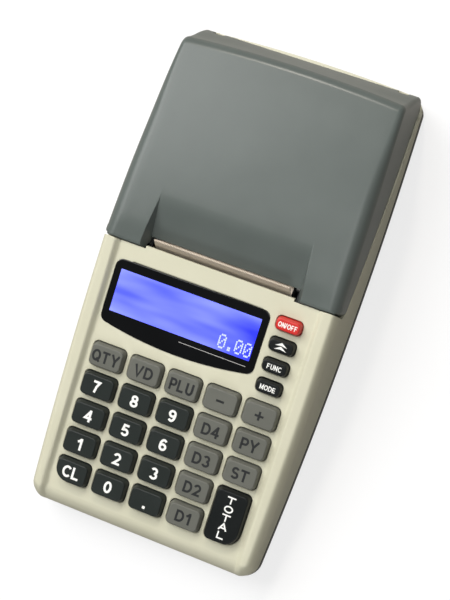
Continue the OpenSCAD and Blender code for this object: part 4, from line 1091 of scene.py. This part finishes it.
# Height and growth of each ring of the window's sheet, with a soft upper edge.
SHEET_RINGS = ((-0.9, 0.0), (0.1, 0.0), (0.24, -0.06), (0.3, -0.2), (0.3, -0.4))
VIEW_R, CELL_LOW, CELL_TOP, CELL_PLAY = 0.3, -0.9, 0.2, 0.04
LINE_LEN, LINE_W, LINE_LOW, LINE_TOP, LINE_AT = 28.6, 0.22, 0.28, 0.32, (7.0, -30.6)


def make_display():
    """The black window, the lit cell that shows in its opening and the thin printed line."""
    sheet = loft("window_sheet", [[(x, y, z) for x, y in window_outline(g)]
                                  for z, g in SHEET_RINGS])
    middle = shift(WIN_X, VIEW_TOP - VIEW_H / 2)
    work(sheet, place(rounded("view", VIEW_W, VIEW_H, -2, 2, (VIEW_R,) * 3), middle))
    place(sheet, DECK)
    dress(smooth(sheet), WINDOW_BLACK)
    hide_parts("display_window")
    cell = rounded("lit_cell", VIEW_W - CELL_PLAY, VIEW_H - CELL_PLAY, CELL_LOW, CELL_TOP,
                   (VIEW_R,) * 3)
    dress(smooth(place(cell, DECK @ middle)), LIT)
    line = rounded("window_stripe", LINE_LEN, LINE_W, LINE_LOW, LINE_TOP, (0.1,) * 3)
    dress(place(line, DECK @ shift(*LINE_AT)), STRIPE)


ZERO = ("01110", "10001", "10011", "10101", "11001", "10001", "01110")
DOT_X, DOT_Y, DOT_SHARE, DOT_LOW, DOT_TOP = 0.62, 0.84, 0.42, 0.19, 0.23
# Left edges of the three digits and of the point, from the right edge of the display.
DIGIT_STARTS, POINT_START = (2.6, 6.3, 13.3), 9.0


def make_digits():
    """Price digits in square dots, hard against the right edge of the display."""
    right, low = WIN_X + VIEW_W / 2 - 0.5, VIEW_TOP - VIEW_H + 1.4
    spots = [(right - POINT_START + c * DOT_X, low + r * DOT_Y) for c in (0, 1) for r in (0, 1)]
    for start in DIGIT_STARTS:
        for r, line in enumerate(reversed(ZERO)):
            spots += [(right - start + c * DOT_X, low + r * DOT_Y)
                      for c, on in enumerate(line) if on == "1"]
    x, y = DOT_X * DOT_SHARE, DOT_Y * DOT_SHARE
    dot = box("dot", (-x, -y, DOT_LOW), (x, y, DOT_TOP))
    dots = [place(twin(dot, "dot"), shift(*s)) for s in spots]
    bpy.data.objects.remove(dot)
    dots = join(*dots)
    dots.name = "display_dots"
    dress(place(dots, DECK), DOTS)


make_display()
make_digits()


# ---------- tear bar ----------

TEAR_HALF, TEAR_T, TEETH, TOOTH_TOP_Z = 28.6, 0.7, 88, 44.3


def make_tear_plate():
    """Folded plate with a fine toothed edge."""
    edge_y, edge_z = 9.92, 44.05
    side = [(7.0, 35.5), (7.0, 36.2), (edge_y, edge_z), (edge_y + TEAR_T, edge_z), (7.8, 36.2),
            (21.5, 36.2), (21.5, 35.5)]
    plate = loft("tear_plate", [[(x, y, z) for y, z in side] for x in (-TEAR_HALF, TEAR_HALF)])
    pitch = 2 * TEAR_HALF / TEETH
    tooth = loft("tooth", [[(-pitch / 2, y, 44.0), (pitch / 2, y, 44.0), (0, y, TOOTH_TOP_Z)]
                           for y in (9.95, 10.6)])
    teeth = [place(twin(tooth, "tooth"), shift(-TEAR_HALF + pitch * (i + 0.5), 0))
             for i in range(TEETH)]
    bpy.data.objects.remove(tooth)
    plate = join(plate, *teeth)
    dress(smooth(plate, 25), TEAR_STEEL)
    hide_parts("tear_bar")


make_tear_plate()


# ---------- the other solids keep their shape ----------

KEPT = (
    (STEEL, "hinge_pins platen_shaft housing_screws board_screws"), (ALUMINIUM, "print_head"),
    (PHOSPHATED, "printer_frame"), (ZINC, "stepper_motor"), (BRASS, "motor_pinion"),
    (ACETAL, "platen_gear idler_gear"), (RUBBER, "platen_rubber rubber_feet"),
    (SILICONE, "keypad_mat"), (BOARD, "keypad_board main_board port_board"),
    (FLAT_CABLE, "ribbon_cable"), (LAMP, "lcd_module lcd_backlight"), (PAPER, "paper_roll"),
    (CARD, "paper_core"), (SLEEVE, "battery_pack"), (BLACK_ABS, "battery_door"),
    (NYLON, "power_jack serial_port buzzer fiscal_memory"),
)
for material, names in KEPT:
    for name in names.split():
        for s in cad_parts[name].material_slots:
            s.material = material


# ---------- floor and light ----------

# Name, place, aim, size, power and colour of each lamp.
LAMPS = (
    ("key_light", (-0.75, 0.35, 1.05), (0, 0, 0.02), 1.1, 18.5, (1, 1, 1)),
    ("overhead", (0.25, 0.0, 1.35), (0, 0.02, 0.02), 0.7, 3.5, (1, 1, 1)),
    ("front_light", (0.3, -0.9, 0.6), (0, 0, 0.03), 0.5, 2.5, (1, 1, 1)),
    ("rear_light", (-0.25, 0.9, 0.95), (0, 0.08, 0.04), 0.14, 5.0, (1.0, 0.92, 0.82)),
)
# How much of the floor's white is light of its own, and how much shows in reflections.
FLOOR_SIZE, FLOOR_GLOW, FLOOR_MIRRORED = 6, 0.72, 0.2


def make_floor():
    """A floor that is white to the eye, dim in reflections and warm where it throws light back."""
    pick()
    bpy.ops.mesh.primitive_plane_add(size=FLOOR_SIZE)
    floor = bpy.context.object
    floor.name = "floor"
    m, t, s = new_material("pale_paper_floor", Roughness=0.9, Specular_IOR_Level=0.1)
    ray = add(t, "ShaderNodeLightPath").outputs
    seen = calc(t, "MAXIMUM", ray["Is Camera Ray"], ray["Is Transmission Ray"])
    seen = calc(t, "MAXIMUM", seen, calc(t, "MULTIPLY", ray["Is Glossy Ray"], FLOOR_MIRRORED))
    tint = add(t, "ShaderNodeValToRGB", [(seen, "Fac")])
    stops(tint, (0.0, "#7a7464"), (1.0, 0.95))
    wire(tint, "Color", s, "Base Color")
    white = add(t, "ShaderNodeEmission", Color=(1, 1, 1, 1), Strength=1.0)
    mix = add(t, "ShaderNodeMixShader", [(calc(t, "MULTIPLY", seen, FLOOR_GLOW), 0),
                                         (s.outputs["BSDF"], 1), (white.outputs["Emission"], 2)])
    wire(mix, "Shader", t.nodes["Material Output"], "Surface")
    floor.data.materials.append(m)


def make_light():
    """An even white sky that the eye sees, dimmer as light, and four round lamps."""
    world = bpy.data.worlds.new("studio")
    bpy.context.scene.world = world
    world.use_nodes = True
    w = world.node_tree
    path = add(w, "ShaderNodeLightPath")
    level = add(w, "ShaderNodeMapRange", [(path.outputs["Is Camera Ray"], "Value")],
                To_Min=0.13, To_Max=1.0)
    wire(level, "Result", w.nodes["Background"], "Strength")
    w.nodes["Background"].inputs["Color"].default_value = (1, 1, 1, 1)
    for name, at, aim, size, power, colour in LAMPS:
        data = bpy.data.lights.new(name, "AREA")
        data.shape, data.size, data.energy, data.color = "DISK", size, power, colour
        o = new_object(name, data)
        o.location = at
        o.rotation_euler = (Vector(aim) - Vector(at)).to_track_quat("-Z", "Y").to_euler()


make_floor()
make_light()

bpy.context.scene.view_settings.view_transform = "Standard"
